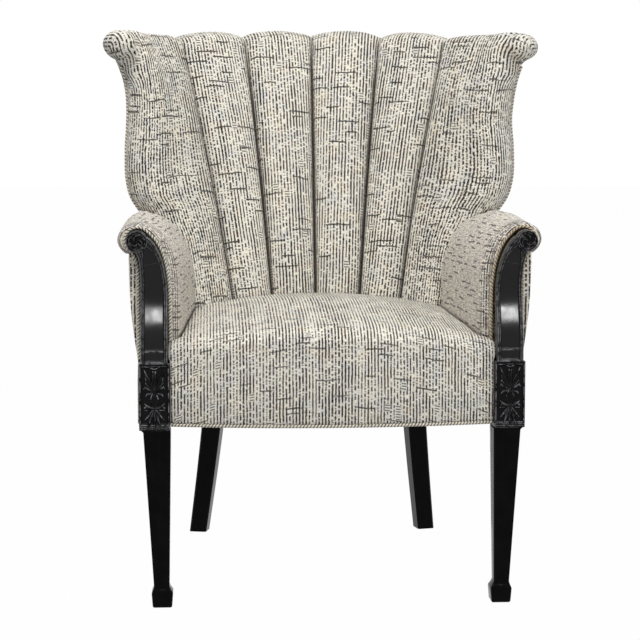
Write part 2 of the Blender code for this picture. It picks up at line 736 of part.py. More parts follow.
def seat_pad(name):
    """Stuffed seat: crowned top, rolled front edge and a skirt down the front rail."""
    rings = []
    half_front = seat_half()
    for share in seat_shares():
        face = seat_front(share)
        rear = seat_back_depth(share * ARM_INSIDE_X[-1])
        x_front = share * half_front
        ring = [
            (x_front, face + SEAT_SKIRT_THICK, SEAT_SKIRT_BOTTOM_Z),
            (x_front, face, SEAT_SKIRT_BOTTOM_Z),
            (x_front, face - SEAT_SKIRT_SWELL, mix(SEAT_SKIRT_BOTTOM_Z, SEAT_PAD_BOTTOM_Z, 0.35)),
            (x_front, face - SEAT_SKIRT_SWELL, mix(SEAT_SKIRT_BOTTOM_Z, SEAT_PAD_BOTTOM_Z, 0.75)),
        ]
        under = [(x_front, face + SEAT_SKIRT_THICK, SEAT_PAD_BOTTOM_Z)]
        for i in range(1, SEAT_RUN_STEPS + 1):
            run = (i / SEAT_RUN_STEPS) ** SEAT_RUN_POWER
            depth = mix(face, rear, run)
            short = max(0.0, 1 - (depth - face) / SEAT_ROLL)
            drop = (1 - math.sqrt(1 - short * short)) * SEAT_ROLL * SEAT_ROLL_SHARE
            half = min(half_front, arm_inside(depth) - SEAT_SIDE_CLEAR)
            ring.append((share * half, depth, seat_top(share, run) - drop))
            if i > 1:
                under.append((share * half, depth, SEAT_PAD_BOTTOM_Z))
        rings.append([Vector((x, back(depth), z)) for x, depth, z in ring + under[::-1]])
    return loft(name, rings, "cover_fabric")


def seat_sheet(name, top, thick, front, rear, inset, look):
    """Level sheet between the arms' inner lines."""
    rings = []
    for z in (top - thick, top):
        right = []
        for depth in (front, mix(front, rear, 0.5), rear):
            right.append(Vector((arm_inside(depth) - inset, back(depth), z)))
        left = [Vector((-p.x, p.y, p.z)) for p in reversed(right)]
        rings.append(right + left)
    return loft(name, rings, look)


def spring_points(x, depth, low, high):
    """Middle line of an hourglass spring."""
    total = SPRING_TURNS * SPRING_TURN_POINTS
    points = []
    for k in range(total + 1):
        share = k / total
        radius = mix(SPRING_WAIST_RADIUS, SPRING_END_RADIUS, (2 * share - 1) ** 2)
        turn = 2 * math.pi * k / SPRING_TURN_POINTS
        at = (x + radius * math.cos(turn), back(depth) + radius * math.sin(turn), mix(low, high, share))
        points.append(Vector(at))
    return points


def least_self_gap(points):
    """Least distance between the wire and itself, a turn or more along."""
    skip = SPRING_TURN_POINTS // 2
    least = min(
        (a - b).length
        for i, a in enumerate(points)
        for b in points[i + skip:]
    )
    return least - SPRING_WIRE


def spring(name, x, depth, low, high):
    points = spring_points(x, depth, low, high)
    print(name, "least gap to itself", round(least_self_gap(points) * 1000, 2), "mm")
    curve = bpy.data.curves.new(name + "_path", "CURVE")
    curve.dimensions = "3D"
    curve.bevel_depth = SPRING_WIRE / 2
    curve.bevel_resolution = 1
    curve.use_fill_caps = True
    path = curve.splines.new("POLY")
    path.points.add(len(points) - 1)
    for slot, point in zip(path.points, points):
        slot.co = (point.x, point.y, point.z, 1.0)
    holder = bpy.data.objects.new(name + "_path", curve)
    bm = bmesh.new()
    bm.from_mesh(bpy.data.meshes.new_from_object(holder))
    bmesh.ops.remove_doubles(bm, verts=bm.verts, dist=1e-6)
    bpy.data.objects.remove(holder, do_unlink=True)
    return add_mesh(name, bm, "spring_steel")


def webbing(name):
    """Woven straps under the springs, joined where they cross."""
    z = RAIL_BOTTOM_Z - GAP - WEBBING_THICK / 2
    first = SPRING_FIRST_DEPTH
    front = seat_front(0.0) + SEAT_SKIRT_THICK + FRONT_RAIL_THICK / 2
    strap = None
    for k in range(SPRING_ROWS):
        x = (k - 1) * SPRING_SPACING_X
        start = seat_front(x / inner_block_x()) + SEAT_SKIRT_THICK + FRONT_RAIL_THICK / 2
        start = max(start, front)
        run = BACK_KNEE_DEPTH - start
        centre = (x, back(start + run / 2), z)
        size = (WEBBING_WIDTH, run, WEBBING_THICK)
        if strap is None:
            strap = box(name, centre, size, 0.0, "webbing")
        else:
            combine(strap, box(f"{name}_strap_{k}", centre, size), "UNION")
    for k in range(SPRING_ROWS):
        depth = first + k * SPRING_SPACING_Y
        share = (depth - BLOCK_WIDTH) / (BACK_KNEE_DEPTH - BLOCK_WIDTH)
        reach = mix(SIDE_RAIL_FRONT_X, SIDE_RAIL_BACK_X, share)
        size = (2 * reach, WEBBING_WIDTH, WEBBING_THICK)
        combine(strap, box(f"{name}_cross_{k}", (0.0, back(depth), z), size), "UNION")
    return strap


def dust_cover(name):
    """Thin cloth closing the underside between the legs."""
    top = RAIL_BOTTOM_Z - 2 * GAP - WEBBING_THICK
    rings = []
    for z in (top - DUST_COVER_THICK, top):
        right = []
        for depth in (BLOCK_WIDTH + DUST_COVER_FRONT_CLEAR, BACK_KNEE_DEPTH - DUST_COVER_BACK_CLEAR):
            share = (depth - BLOCK_WIDTH) / (BACK_KNEE_DEPTH - BLOCK_WIDTH)
            reach = mix(SIDE_RAIL_FRONT_X, SIDE_RAIL_BACK_X, share) - DUST_COVER_INSET
            right.append(Vector((reach, back(depth), z)))
        left = [Vector((-p.x, p.y, p.z)) for p in reversed(right)]
        rings.append(right + left)
    return loft(name, rings, "dust_cloth")


def arm_rail_top():
    return ARM_RAIL_Z + ARM_RAIL_HEIGHT / 2 + GAP


def arm_section(share):
    """Outline of the arm pad: up the inside, over the roll to the lip, and back along the frame."""
    inside = hermite(ARM_STATIONS, ARM_INSIDE_X, share)
    centre = hermite(ARM_STATIONS, ARM_CENTRE_X, share)
    outside = hermite(ARM_STATIONS, ARM_OUTSIDE_X, share)
    top = SCROLL_Z + hermite(ARM_STATIONS, ARM_TOP_RISE, share)
    shoulder = SCROLL_Z - hermite(ARM_STATIONS, ARM_SHOULDER_DROP, share)
    points = [(inside, ARM_PAD_BOTTOM_Z), (inside, mix(ARM_PAD_BOTTOM_Z, shoulder, 0.5))]
    for k in range(6):
        turn = math.pi / 2 * k / 5
        x = centre - (centre - inside) * math.cos(turn)
        points.append((x, shoulder + (top - shoulder) * math.sin(turn)))
    for k in range(1, 5):
        turn = math.pi / 2 * (1 - k / 4)
        x = centre + (outside - centre) * math.cos(turn)
        points.append((x, ARM_ROLL_Z + (top - ARM_ROLL_Z) * math.sin(turn)))
    for k in range(1, 4):
        turn = ARM_LIP_ANGLE * k / 3
        x = centre + (outside - centre) * math.cos(turn)
        points.append((x, ARM_ROLL_Z + ARM_ROLL_DROP * math.sin(turn)))
    rail_in = ARM_RAIL_X - ARM_RAIL_WIDTH / 2 - GAP
    rail_out = ARM_RAIL_X + ARM_RAIL_WIDTH / 2 + GAP
    rail_top = arm_rail_top()
    lining = []
    for k in range(7):
        slant = mix(inside + ARM_INNER_THICK, rail_in, smooth(k / 5))
        lining.append((slant, mix(ARM_PAD_BOTTOM_Z, rail_top, k / 6)))
    lining += [(mix(rail_in, rail_out, k / 4), rail_top) for k in range(1, 5)]
    lining += [(rail_out, mix(rail_top, ARM_UNDER_Z, k / 4)) for k in range(1, 5)]
    return points + lining[::-1]


def arm_end_depth(x, z):
    """Depth at which the arm pad ends: within the wing channel, or level with its outer edge."""
    level = max(z, SEAM_Z[1])
    edge = seam_point(WING_PAD_END, level)
    over_rail = z >= arm_rail_top() and x >= ARM_RAIL_X - ARM_RAIL_WIDTH / 4
    if over_rail or x >= ARM_RAIL_X + ARM_RAIL_WIDTH / 2:
        return BACK_KNEE_DEPTH - ARM_ROLL_END_CLEAR
    if x >= edge.x:
        return edge.y - FRONT_Y - hermite(SEAM_Z, CROWN, level)
    return seam_point(line_at_x(x, level), level).y - FRONT_Y


def arm_pad(name, side):
    """Inside arm and outward roll, stuffed, running back into the wing."""
    rings = []
    steps = 7
    start = POST_BACK_DEPTH + GAP
    ends = [arm_end_depth(x, z) for x, z in arm_section(1.0)]
    for k in range(steps + 1):
        share = k / steps
        ring = []
        for (x, z), end in zip(arm_section(share), ends):
            ring.append(Vector((side * x, back(mix(start, end, share)), z)))
        rings.append(ring)
    return loft(name, rings, "cover_fabric", True)


def arm_rail(name, side):
    """Bent rail from the arm post to the back post."""
    bend = back_point(ARM_RAIL_BEND_LINE, ARM_RAIL_Z, frame_near() + ARM_RAIL_BEND_BEHIND).y - ARM_RAIL_BEND_LEAD
    path = [
        Vector((ARM_RAIL_X, back(POST_BACK_DEPTH + GAP), ARM_RAIL_Z)),
        Vector((ARM_RAIL_X, bend, ARM_RAIL_Z)),
    ]
    for line in even(ARM_RAIL_BEND_LINE, BACK_POST_LINE, 8):
        at = back_point(line, ARM_RAIL_Z, frame_near() + ARM_RAIL_BEND_BEHIND)
        path.append(Vector((at.x, at.y, ARM_RAIL_Z)))
    for point in path:
        point.x *= side
    rings = []
    for i, point in enumerate(path):
        ahead = (path[min(i + 1, len(path) - 1)] - path[max(i - 1, 0)]).normalized()
        if i < 2:
            ahead = Vector((0.0, 1.0, 0.0))
        out = Vector((ahead.y, -ahead.x, 0.0)) * (ARM_RAIL_WIDTH / 2)
        rise = Vector((0.0, 0.0, ARM_RAIL_HEIGHT / 2))
        rings.append([point - out - rise, point + out - rise, point + out + rise, point - out + rise])
    return loft(name, rings, "frame_wood")


def outside_arm(name, side):
    """Thin cover panel from the arm rail down to the side rail."""
    front, rear, turn = side_rail_line(side)
    rings = []
    steps = 10
    for k in range(steps + 1):
        depth = mix(OUTSIDE_ARM_DEPTH[0], OUTSIDE_ARM_DEPTH[-1], k / steps)
        share = (depth - BLOCK_WIDTH) / (BACK_KNEE_DEPTH - BLOCK_WIDTH)
        rail_face = SIDE_RAIL_THICK / 2 / math.cos(turn) + GAP
        low_x = mix(SIDE_RAIL_FRONT_X, SIDE_RAIL_BACK_X, share) + rail_face
        waist_x = hermite(OUTSIDE_ARM_DEPTH, OUTSIDE_ARM_WAIST_X, depth) - OUTSIDE_ARM_THICK
        high_x = hermite(OUTSIDE_ARM_DEPTH, OUTSIDE_ARM_TOP_X, depth) - OUTSIDE_ARM_THICK
        rail_top = RAIL_BOTTOM_Z + RAIL_HEIGHT
        heights = [OUTSIDE_ARM_BOTTOM_Z, rail_top, mix(rail_top, OUTSIDE_ARM_WAIST_Z, 0.5)]
        heights += even(OUTSIDE_ARM_WAIST_Z, OUTSIDE_ARM_TOP_Z, 4)
        outer, inner = [], []
        for z in heights:
            flare = smooth((z - rail_top) / (OUTSIDE_ARM_WAIST_Z - rail_top))
            climb = max(0.0, z - OUTSIDE_ARM_WAIST_Z) / (OUTSIDE_ARM_TOP_Z - OUTSIDE_ARM_WAIST_Z)
            x = mix(mix(low_x, waist_x, flare), high_x, climb)
            x += OUTSIDE_ARM_SWELL * math.sin(math.pi * climb)
            inner.append(Vector((side * x, back(depth), z)))
            outer.append(Vector((side * (x + OUTSIDE_ARM_THICK), back(depth), z)))
        rings.append(outer + inner[::-1])
    return loft(name, rings, "cover_fabric", True)


def arm_welt(name, side):
    """Cord round the show-wood facing, from the seat over the scroll and down the outer edge."""
    depth = back(POST_BACK_DEPTH - ARM_WELT_RADIUS - GAP)
    room = ARM_WELT_RADIUS + 4 * GAP
    points = []
    stations = post_stations()
    for centre, half, level in stations[1:-1]:
        at = centre - level * (half + room)
        points.append(Vector((side * at.x, depth, at.z)))
    head = SCROLL_RADIUS + room
    for k in range(11):
        turn = mix(WELT_HEAD_START, WELT_HEAD_END, k / 10)
        x = SCROLL_X + head * math.cos(turn)
        points.append(Vector((side * x, depth, SCROLL_Z + head * math.sin(turn))))
    edge = POST_X + POST_WIDTH / 2 + room
    for z in even(SCROLL_Z - 2 * SCROLL_RADIUS, BLOCK_TOP_Z + ARM_WELT_RADIUS, 6):
        points.append(Vector((side * edge, depth, z)))
    return tube(name, points, ARM_WELT_RADIUS, WELT_SIDES, "welt_cord")


def channel_profile(share, wing):
    """Fullness of a channel across its width; a wing channel stays full to its outer edge."""
    round_over = max(0.0, 1 - (2 * share - 1) ** 2) ** CROWN_POWER
    if not wing:
        return round_over
    if share > 0.5:
        round_over = mix(1.0, WING_EDGE_SHARE, smooth(2 * share - 1))
    return round_over * WING_CROWN_SHARE


def channel_shares():
    """Stations across a channel, closer together near its seams."""
    return [(1 - math.cos(math.pi * k / (CHANNEL_POINTS - 1))) / 2 for k in range(CHANNEL_POINTS)]


def channel_levels():
    return even(CHANNEL_BOTTOM_Z, CREST_Z, CHANNEL_LEVELS)


def channel_lines(end):
    """Lines of the channels' rear stations, across the whole back and short of the end."""
    shares = channel_shares()
    right = [line + shares[i] for line in (0.0, 1.0) for i in CHANNEL_REAR[::-1]]
    right += [mix(2.0, WING_PAD_END, shares[i]) for i in CHANNEL_REAR[::-1]]
    right = [line for line in sorted(set(right)) if line < end]
    return [-line for line in right[:0:-1]] + right


def channel(name, first, last):
    """Stuffed channel between two seam lines, rising from behind the seat and over the crest rail."""
    outer = max(abs(first), abs(last))
    wing = outer > 2.0
    low_line, high_line = min(abs(first), abs(last)), outer
    side = 1.0 if first + last > 0 else -1.0
    if wing:
        high_line = WING_PAD_END
    shares = channel_shares()

    def lines(z):
        rate = (seam_point(high_line, z) - seam_point(low_line, z)).length / (high_line - low_line)
        trim = GAP / 2 / rate
        return [side * mix(low_line + trim, high_line - trim, share) for share in shares]

    rings = []
    for z in channel_levels():
        crown = hermite(SEAM_Z, CROWN, z)
        row = lines(z)
        ring = [
            back_point(line, z, -crown * channel_profile(share, wing))
            for line, share in zip(row, shares)
        ]
        ring += [back_point(row[i], z, SEAM_PAD) for i in CHANNEL_REAR]
        rings.append(ring)
    row = lines(CREST_Z)
    for k in range(1, ROLL_STEPS + 1):
        angle = ROLL_END * k / ROLL_STEPS
        thin = smooth((angle - ROLL_THIN_FROM) / (ROLL_END - ROLL_THIN_FROM))
        ring = []
        for line, share in zip(row, shares):
            full = SEAM_PAD + CROWN[-1] * channel_profile(share, wing)
            ring.append(crest_point(line, angle, crest_radius() + mix(full, ROLL_END_PAD, thin)))
        ring += [crest_point(row[i], angle, crest_radius()) for i in CHANNEL_REAR]
        rings.append(ring)
    return loft(name, rings, "cover_fabric")


def crest_rail(name):
    """Curved top rail with a rounded upper edge, under the channels' roll."""
    rings = []
    for line in channel_lines(WING_PAD_END):
        ring = [crest_point(line, math.pi * i / 4, CREST_HALF) for i in range(5)]
        low = back_point(line, CREST_Z - CREST_DROP, frame_near() + BACK_HESSIAN_ROOM)
        ring.append(low + ring[-1] - ring[0])
        ring.append(low)
        rings.append(ring)
    return loft(name, rings, "frame_wood")


def shell(name, lines, levels, near, thick, look=None):
    """Thin sheet following the back at a set distance behind the padding's front."""
    rings = []
    for line in lines:
        ring = [back_point(line, z, near) for z in levels]
        ring += [back_point(line, z, near + thick) for z in reversed(levels)]
        rings.append(ring)
    return loft(name, rings, look, True)


def even(low, high, count):
    return [mix(low, high, k / (count - 1)) for k in range(count)]


def lower_rail(name):
    levels = (LOWER_RAIL_BOTTOM_Z, LOWER_RAIL_TOP_Z)
    return shell(name, channel_lines(LOWER_RAIL_END), levels, frame_near(), LOWER_RAIL_THICK, "frame_wood")


def back_hessian(name):
    near = SEAM_PAD + BACK_HESSIAN_ROOM
    return shell(name, channel_lines(WING_PAD_END), channel_levels()[1:], near, HESSIAN_THICK, "hessian")


def wing_post(name, side):
    """Upright of the wing, standing on the arm rail and meeting the crest rail."""
    depth = frame_near() + GAP + BACK_FRAME_THICK / 2
    rings = []
    for z in even(WING_POST_BOTTOM_Z, CREST_Z - WING_POST_DROP, 9):
        at = back_point(WING_POST_LINE, z, depth)
        rear = back_axes(WING_POST_LINE, z)[2]
        turn = side * math.atan2(rear.x, rear.y)
        rings.append(square_ring(side * at.x, at.y, at.z, WING_POST_WIDTH, BACK_CHAMFER, -turn))
    return loft(name, rings, "frame_wood")


def outside_depth():
    return frame_near() + GAP + BACK_FRAME_THICK + OUTSIDE_ROOM


def outside_back_point(share, z, depth):
    """The outside back: straight along the back rail, bowed with the channels above."""
    low = Vector((share * OUTSIDE_BACK_BOTTOM_X, back(BACK_KNEE_DEPTH + OUTSIDE_BACK_SET) + depth, z))
    level = max(z, SEAM_Z[1])
    high = back_point(share * OUTSIDE_BACK_LINE, level, outside_depth() + depth)
    high.z = z + (high.z - level)
    rise = smooth((z - OUTSIDE_BACK_PLUMB_Z) / (OUTSIDE_BACK_BLEND_Z - OUTSIDE_BACK_PLUMB_Z))
    return low.lerp(high, rise)


def outside_back(name):
    """Cover panel closing the back between the posts."""
    rings = []
    levels = even(RAIL_BOTTOM_Z, CREST_Z - OUTSIDE_BACK_DROP, 9)
    end = OUTSIDE_BACK_LINE
    for share in [line / end for line in [-end] + channel_lines(end) + [end]]:
        ring = [outside_back_point(share, z, 0.0) for z in levels]
        ring += [outside_back_point(share, z, OUTSIDE_BACK_THICK) for z in reversed(levels)]
        rings.append(ring)
    return loft(name, rings, "cover_fabric", True)


def outside_wing(name, side):
    """Cover panel on the outer face of the wing."""
    lines = [side * line for line in even(OUTSIDE_WING_INNER, OUTSIDE_WING_OUTER, 6)]
    levels = even(OUTSIDE_WING_BOTTOM_Z, CREST_Z - OUTSIDE_BACK_DROP, 8)
    return shell(name, lines, levels, outside_depth(), OUTSIDE_BACK_THICK, "cover_fabric")


def wing_room(name, side):
    """Space the wing takes up behind the arm, from its padding to its outer cover."""
    lines = [side * line for line in even(BACK_POST_LINE, WING_PAD_END, 8)]
    levels = even(OUTSIDE_ARM_TOP_Z, ROLL_FULL_Z, 4)
    return shell(name, lines, levels, 0.0, outside_depth() + OUTSIDE_BACK_THICK + OUTSIDE_ROOM)


def roll_size(z):
    """Half thickness and half depth of the wing roll, swelling into the lobe at the top."""
    if z >= LOBE_FROM_Z:
        rise = max(-1.0, min(1.0, (z - LOBE_Z) / LOBE_HALF))
        ball = math.sqrt(max(0.0, 1 - rise * rise))
        half, deep = LOBE_HALF * ball, LOBE_DEEP * ball
        if z < LOBE_Z:
            half, deep = max(half, ROLL_HALF), max(deep, ROLL_DEEP)
        return half, deep
    grow = mix(ROLL_BOTTOM_SHARE, 1.0, smooth((z - ROLL_BOTTOM_Z) / (ROLL_FULL_Z - ROLL_BOTTOM_Z)))
    return ROLL_HALF * grow, ROLL_DEEP * grow


def roll_centre(side, z, half):
    """Middle of the wing roll beside the wing channel's outer face."""
    level = min(z, CREST_Z)
    across, up, rear = back_axes(WING_PAD_END, level)
    along = Vector((across.x, across.y, 0.0)).normalized()
    behind = Vector((rear.x, rear.y, 0.0)).normalized()
    at = seam_point(WING_PAD_END, level) + along * (half + GAP) + behind * ROLL_SET
    return at, along, behind


def wing_roll(name, side):
    """Padded outer edge of the wing with its lobe."""
    levels = even(ROLL_BOTTOM_Z, LOBE_FROM_Z, ROLL_LEVELS)
    levels += [LOBE_Z + LOBE_HALF * step for step in LOBE_STEPS]
    rings = []
    for z in levels:
        half, deep = roll_size(z)
        reach = LOBE_HALF if z > LOBE_Z else half
        at, along, behind = roll_centre(side, z, reach)
        ring = []
        for k in range(ROLL_SIDES):
            turn = 2 * math.pi * k / ROLL_SIDES
            point = at + along * (half * math.cos(turn)) + behind * (deep * math.sin(turn))
            ring.append(Vector((side * point.x, point.y, z)))
        rings.append(ring)
    return loft(name, rings, "cover_fabric")


def wing_welt(name, side):
    """Cord on the outermost line of the wing roll."""
    points = []
    for z in even(WING_WELT_BOTTOM_Z, LOBE_FROM_Z - WING_WELT_DROP, 12):
        half, deep = roll_size(z)
        at, along, behind = roll_centre(side, z, half)
        turn = math.atan2(deep * behind.x, half * along.x)
        skin = along * (half * math.cos(turn)) + behind * (deep * math.sin(turn))
        point = at + skin + Vector((WING_WELT_RADIUS + 2 * GAP, 0.0, 0.0))
        points.append(Vector((side * point.x, point.y, z)))
    return tube(name, points, WING_WELT_RADIUS, WELT_SIDES, "welt_cord")


def seat_welt(name):
    """Cord along the bottom of the seat's front."""
    reach = inner_block_x() - 3 * GAP
    z = SEAT_SKIRT_BOTTOM_Z - GAP - SEAT_WELT_RADIUS
    points = []
    for share in even(-1.0, 1.0, 21):
        depth = seat_front(share) + SEAT_WELT_RADIUS
        points.append(Vector((share * reach, back(depth), z)))
    return tube(name, points, SEAT_WELT_RADIUS, WELT_SIDES, "welt_cord")


def build():
    rail_z = RAIL_BOTTOM_Z + RAIL_HEIGHT / 2
    rail_front = front_rail("front_rail")
    rail_back = back_rail("back_rail")
    crest = crest_rail("crest_rail")
    lower = lower_rail("lower_back_rail")
    legs, posts, rails, arms, channels = {}, {}, {}, {}, {}
    for label in SIDES:
        side = sign(label)
        legs[label] = front_leg(f"front_leg_{label}", side)
        posts[label] = back_post(f"back_leg_{label}", side)
        rails[label] = side_rail(f"side_rail_{label}", side)
        arms[label] = arm_rail(f"arm_rail_{label}", side)
    for k in range(6):
        channels[k] = channel(f"back_channel_{k + 1}", k - 3.0, k - 2.0)

    for label in SIDES:
        side = sign(label)
        leg, post, rail = legs[label], posts[label], rails[label]
        front, rear, turn = side_rail_line(side)
        ahead = (rear - front).normalized()

        cut(rail, grown(leg), grown(post))
        at = front
        tongue, mortise = tenon(
            f"side_tenon_front_{label}", (at.x, at.y, rail_z),
            (TENON_THICK, 2 * TENON_LENGTH, TENON_HEIGHT), turn,
        )
        combine(rail, tongue, "UNION")
        cut(leg, mortise)
        at = rear - ahead * BACK_KNEE_WIDTH / 2
        tongue, mortise = tenon(
            f"side_tenon_back_{label}", (at.x, at.y, rail_z),
            (TENON_THICK, 1.6 * TENON_LENGTH, TENON_HEIGHT), turn,
        )
        combine(rail, tongue, "UNION")
        cut(post, mortise)

        cut(rail_back, grown(post))
        tongue, mortise = tenon(
            f"back_tenon_{label}",
            (side * (BACK_KNEE_X - BACK_KNEE_WIDTH / 2), back(BACK_KNEE_DEPTH), rail_z),
            (1.4 * TENON_LENGTH, TENON_THICK, TENON_HEIGHT),
        )
        combine(rail_back, tongue, "UNION")
        cut(post, mortise)

        depth = seat_front(1.0) + SEAT_SKIRT_THICK + GAP + TENON_THICK
        tongue, mortise = tenon(
            f"front_tenon_{label}", (side * inner_block_x(), back(depth), rail_z),
            (2 * TENON_LENGTH, TENON_THICK, TENON_HEIGHT),
        )
        combine(rail_front, tongue, "UNION")
        cut(leg, mortise)

        stump = arm_post(f"arm_post_{label}", side)
        tongue, mortise = tenon(
            f"post_tenon_{label}", (side * POST_X, back(BLOCK_WIDTH / 2), BLOCK_TOP_Z),
            (POST_TENON_SIDE, POST_TENON_SIDE, 2 * POST_TENON_LENGTH),
        )
        combine(stump, tongue, "UNION")
        cut(leg, mortise)

        tongue, mortise = tenon(
            f"arm_tenon_{label}", (side * ARM_TENON_X, back(POST_BACK_DEPTH), ARM_RAIL_Z),
            (ARM_TENON_THICK, 2 * ARM_RAIL_TENON, ARM_RAIL_TENON),
        )
        combine(arms[label], tongue, "UNION")
        cut(stump, mortise)
        cut(arms[label], grown(post))

        cut(post, grown(crest))
        cut(lower, grown(post))
        upright = wing_post(f"wing_post_{label}", side)
        cut(upright, grown(crest), grown(arms[label]))

        pad = arm_pad(f"arm_pad_{label}", side)
        wing = channels[0] if side < 0 else channels[5]
        cut(pad, grown(wing), wing_room(f"wing_room_{label}", side), grown(arms[label]))
        cut(outside_arm(f"outside_arm_{label}", side), grown(leg))
        arm_welt(f"arm_welt_{label}", side)
        outside_wing(f"outside_wing_{label}", side)
        cut(wing_roll(f"wing_roll_{label}", side), grown(wing), grown(pad))
        wing_welt(f"wing_welt_{label}", side)

        inward = Vector((-side, 0.0, 0.0))
        corner = front - ahead * FRONT_RAIL_THICK / 2
        block = corner_block(f"corner_block_front_{label}", corner, inward, ahead)
        cut(block, grown(rail_front), grown(rail), grown(leg))
        block = corner_block(f"corner_block_back_{label}", rear, inward, -ahead)
        cut(block, grown(rail_back), grown(rail), grown(post))

    back_hessian("back_hessian")
    outside_back("outside_back")
    seat = seat_pad("seat_pad")
    cut(seat, *[grown(channels[k]) for k in range(1, 5)])
    sheet_rear = seat_back_depth(ARM_INSIDE_X[-1])
    seat_sheet(
        "seat_hessian", SEAT_PAD_BOTTOM_Z - GAP, HESSIAN_THICK,
        POST_BACK_DEPTH + HESSIAN_INSET, sheet_rear, HESSIAN_INSET, "hessian",
    )
    seat_welt("seat_welt")
    webbing("seat_webbing")
    dust_cover("dust_cover")
    low = RAIL_BOTTOM_Z + SPRING_WIRE / 2
    high = SEAT_PAD_BOTTOM_Z - 2 * GAP - HESSIAN_THICK - SPRING_WIRE / 2
    for row in range(SPRING_ROWS):
        for column in range(SPRING_ROWS):
            x = (column - 1) * SPRING_SPACING_X
            depth = SPRING_FIRST_DEPTH + row * SPRING_SPACING_Y
            spring(f"seat_spring_{row * SPRING_ROWS + column + 1}", x, depth, low, high)


build()
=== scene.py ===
"""Looks of the channel-back wing chair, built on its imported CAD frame.

Metres, +Z up, the chair faces -Y. Depths are measured backward from the front face of the front legs.
Pieces that come in pairs are reckoned for the right, at +X, and mirrored for the left.
"""

import math

import bmesh
import bpy
import numpy as np
from mathutils import Matrix, Vector, noise
from mathutils.kdtree import KDTree


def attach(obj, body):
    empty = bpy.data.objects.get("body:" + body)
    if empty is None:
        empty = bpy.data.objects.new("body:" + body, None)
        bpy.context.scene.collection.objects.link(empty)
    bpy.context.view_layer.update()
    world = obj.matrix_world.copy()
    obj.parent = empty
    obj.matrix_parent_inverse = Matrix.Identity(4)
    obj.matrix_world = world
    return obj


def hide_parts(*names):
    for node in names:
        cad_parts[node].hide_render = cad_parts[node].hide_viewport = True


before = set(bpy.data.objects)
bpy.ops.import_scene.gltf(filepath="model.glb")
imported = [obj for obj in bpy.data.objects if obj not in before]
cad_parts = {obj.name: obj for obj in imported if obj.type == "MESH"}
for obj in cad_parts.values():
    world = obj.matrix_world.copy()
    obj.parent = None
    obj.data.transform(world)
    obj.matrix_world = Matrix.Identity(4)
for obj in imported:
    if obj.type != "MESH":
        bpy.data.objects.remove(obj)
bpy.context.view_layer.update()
scene = bpy.context.scene

FRONT_Y = -0.326
GAP = 0.0003

# Front legs
BLOCK_X = 0.290
BLOCK_WIDTH = 0.050
BLOCK_BOTTOM_Z = 0.295
BLOCK_TOP_Z = 0.404
BLOCK_CORNER = 0.0016
LEG_CORNER = 0.0020
LEG_LEVELS = (  # height, width, set towards the middle
    (0.0, 0.0290, 0.0100), (0.0020, 0.0320, 0.0100), (0.0230, 0.0350, 0.0100), (0.0250, 0.0345, 0.0100),
    (0.0300, 0.0290, 0.0094), (0.0350, 0.0256, 0.0090), (0.0400, 0.0259, 0.0089),
    (0.2860, 0.0441, 0.0037), (0.2910, 0.0445, 0.0036), (0.2955, 0.0480, 0.0010),
)

# Arm posts
POST_X = 0.290
POST_WIDTH = 0.0435
POST_BACK_DEPTH = 0.045
POST_DISH = 0.020
POST_DISH_LOW = 0.436
POST_DISH_LENGTH = 0.148
SCROLL_X = 0.316
SCROLL_Z = 0.601
SCROLL_RADIUS = 0.0178
POST_PATH_Z = (0.4043, 0.436, 0.460, 0.485, 0.510, 0.535, 0.560, 0.580, 0.594, 0.601)
POST_PATH_OUT = (0.0, 0.0, 0.0, 0.0, 0.0, 0.0005, 0.0030, 0.0080, 0.0155, 0.0225)
POST_PATH_HALF = (1.0, 1.0, 1.0, 1.0, 1.0, 0.96, 0.88, 0.78, 0.71, 0.58)

# Seat
RAIL_FRONT_X = 0.300
RAIL_BACK_X = 0.195
RAIL_TOP_Z = 0.365
SEAT_FRONT_DEPTH = 0.014
SEAT_BOW = 0.030
SEAT_HALF = 0.2645
SEAT_POST_HALF = 0.2678
SEAT_ARM_CLEAR = 0.0010
SEAT_SKIRT_BOTTOM_Z = 0.305
SEAT_SKIRT_THICK = 0.010
SEAT_SKIRT_SWELL = 0.004
SEAT_PAD_BOTTOM_Z = 0.4168
SEAT_EDGE_Z = (0.436, 0.460)
SEAT_CROWN = (0.024, 0.040, 0.020)
SEAT_ROLL = 0.050
SEAT_ROLL_SHARE = 0.45
SEAT_BACK_CLEAR = 0.002
SEAT_BACK_TUCK = 0.004
SEAT_CLOSER = 1.15
SEAT_WEFT_SAG = 0.055
DUST_Z = 0.2968
DUST_SAG = 0.004
DUST_DEPTHS = (0.0515, 0.478)
DUST_INSET = 0.006

# Arms
ARM_BOTTOM_Z = 0.405
ARM_STATIONS = (0.0, 0.5, 1.0)
ARM_SWELL_STATIONS = (0.0, 0.06, 0.5, 1.0)
ARM_INSIDE_X = (0.263, 0.250, 0.238, 0.224)
ARM_CENTRE_X = (0.316, 0.312, 0.310)
ARM_OUTSIDE_X = (0.350, 0.350, 0.342)
ARM_TOP_Z = (0.629, 0.640, 0.632)
ARM_SHOULDER_Z = (0.530, 0.525, 0.500)
ARM_ROLL_DROP = 0.028
ARM_LIP = math.radians(-55)
ARM_RAIL_X = 0.314
ARM_RAIL_WIDTH = 0.020
ARM_RAIL_TOP_Z = 0.5953
ARM_UNDER_Z = 0.580
ARM_LINING = 0.036
ARM_ROLL_END = 0.450
ARM_ROLL_CENTRE = np.array((0.320, 0.0, 0.611))
ARM_ROLL_CAP = 0.014
ARM_ROLL_CAP_TURNS = np.radians((22, 42, 60, 75, 87))
ARM_TUCK = 0.006
ARM_TURN_ROWS = 12
ARM_TURN_IN = 0.0070
ARM_TURN_DEEP = 0.020

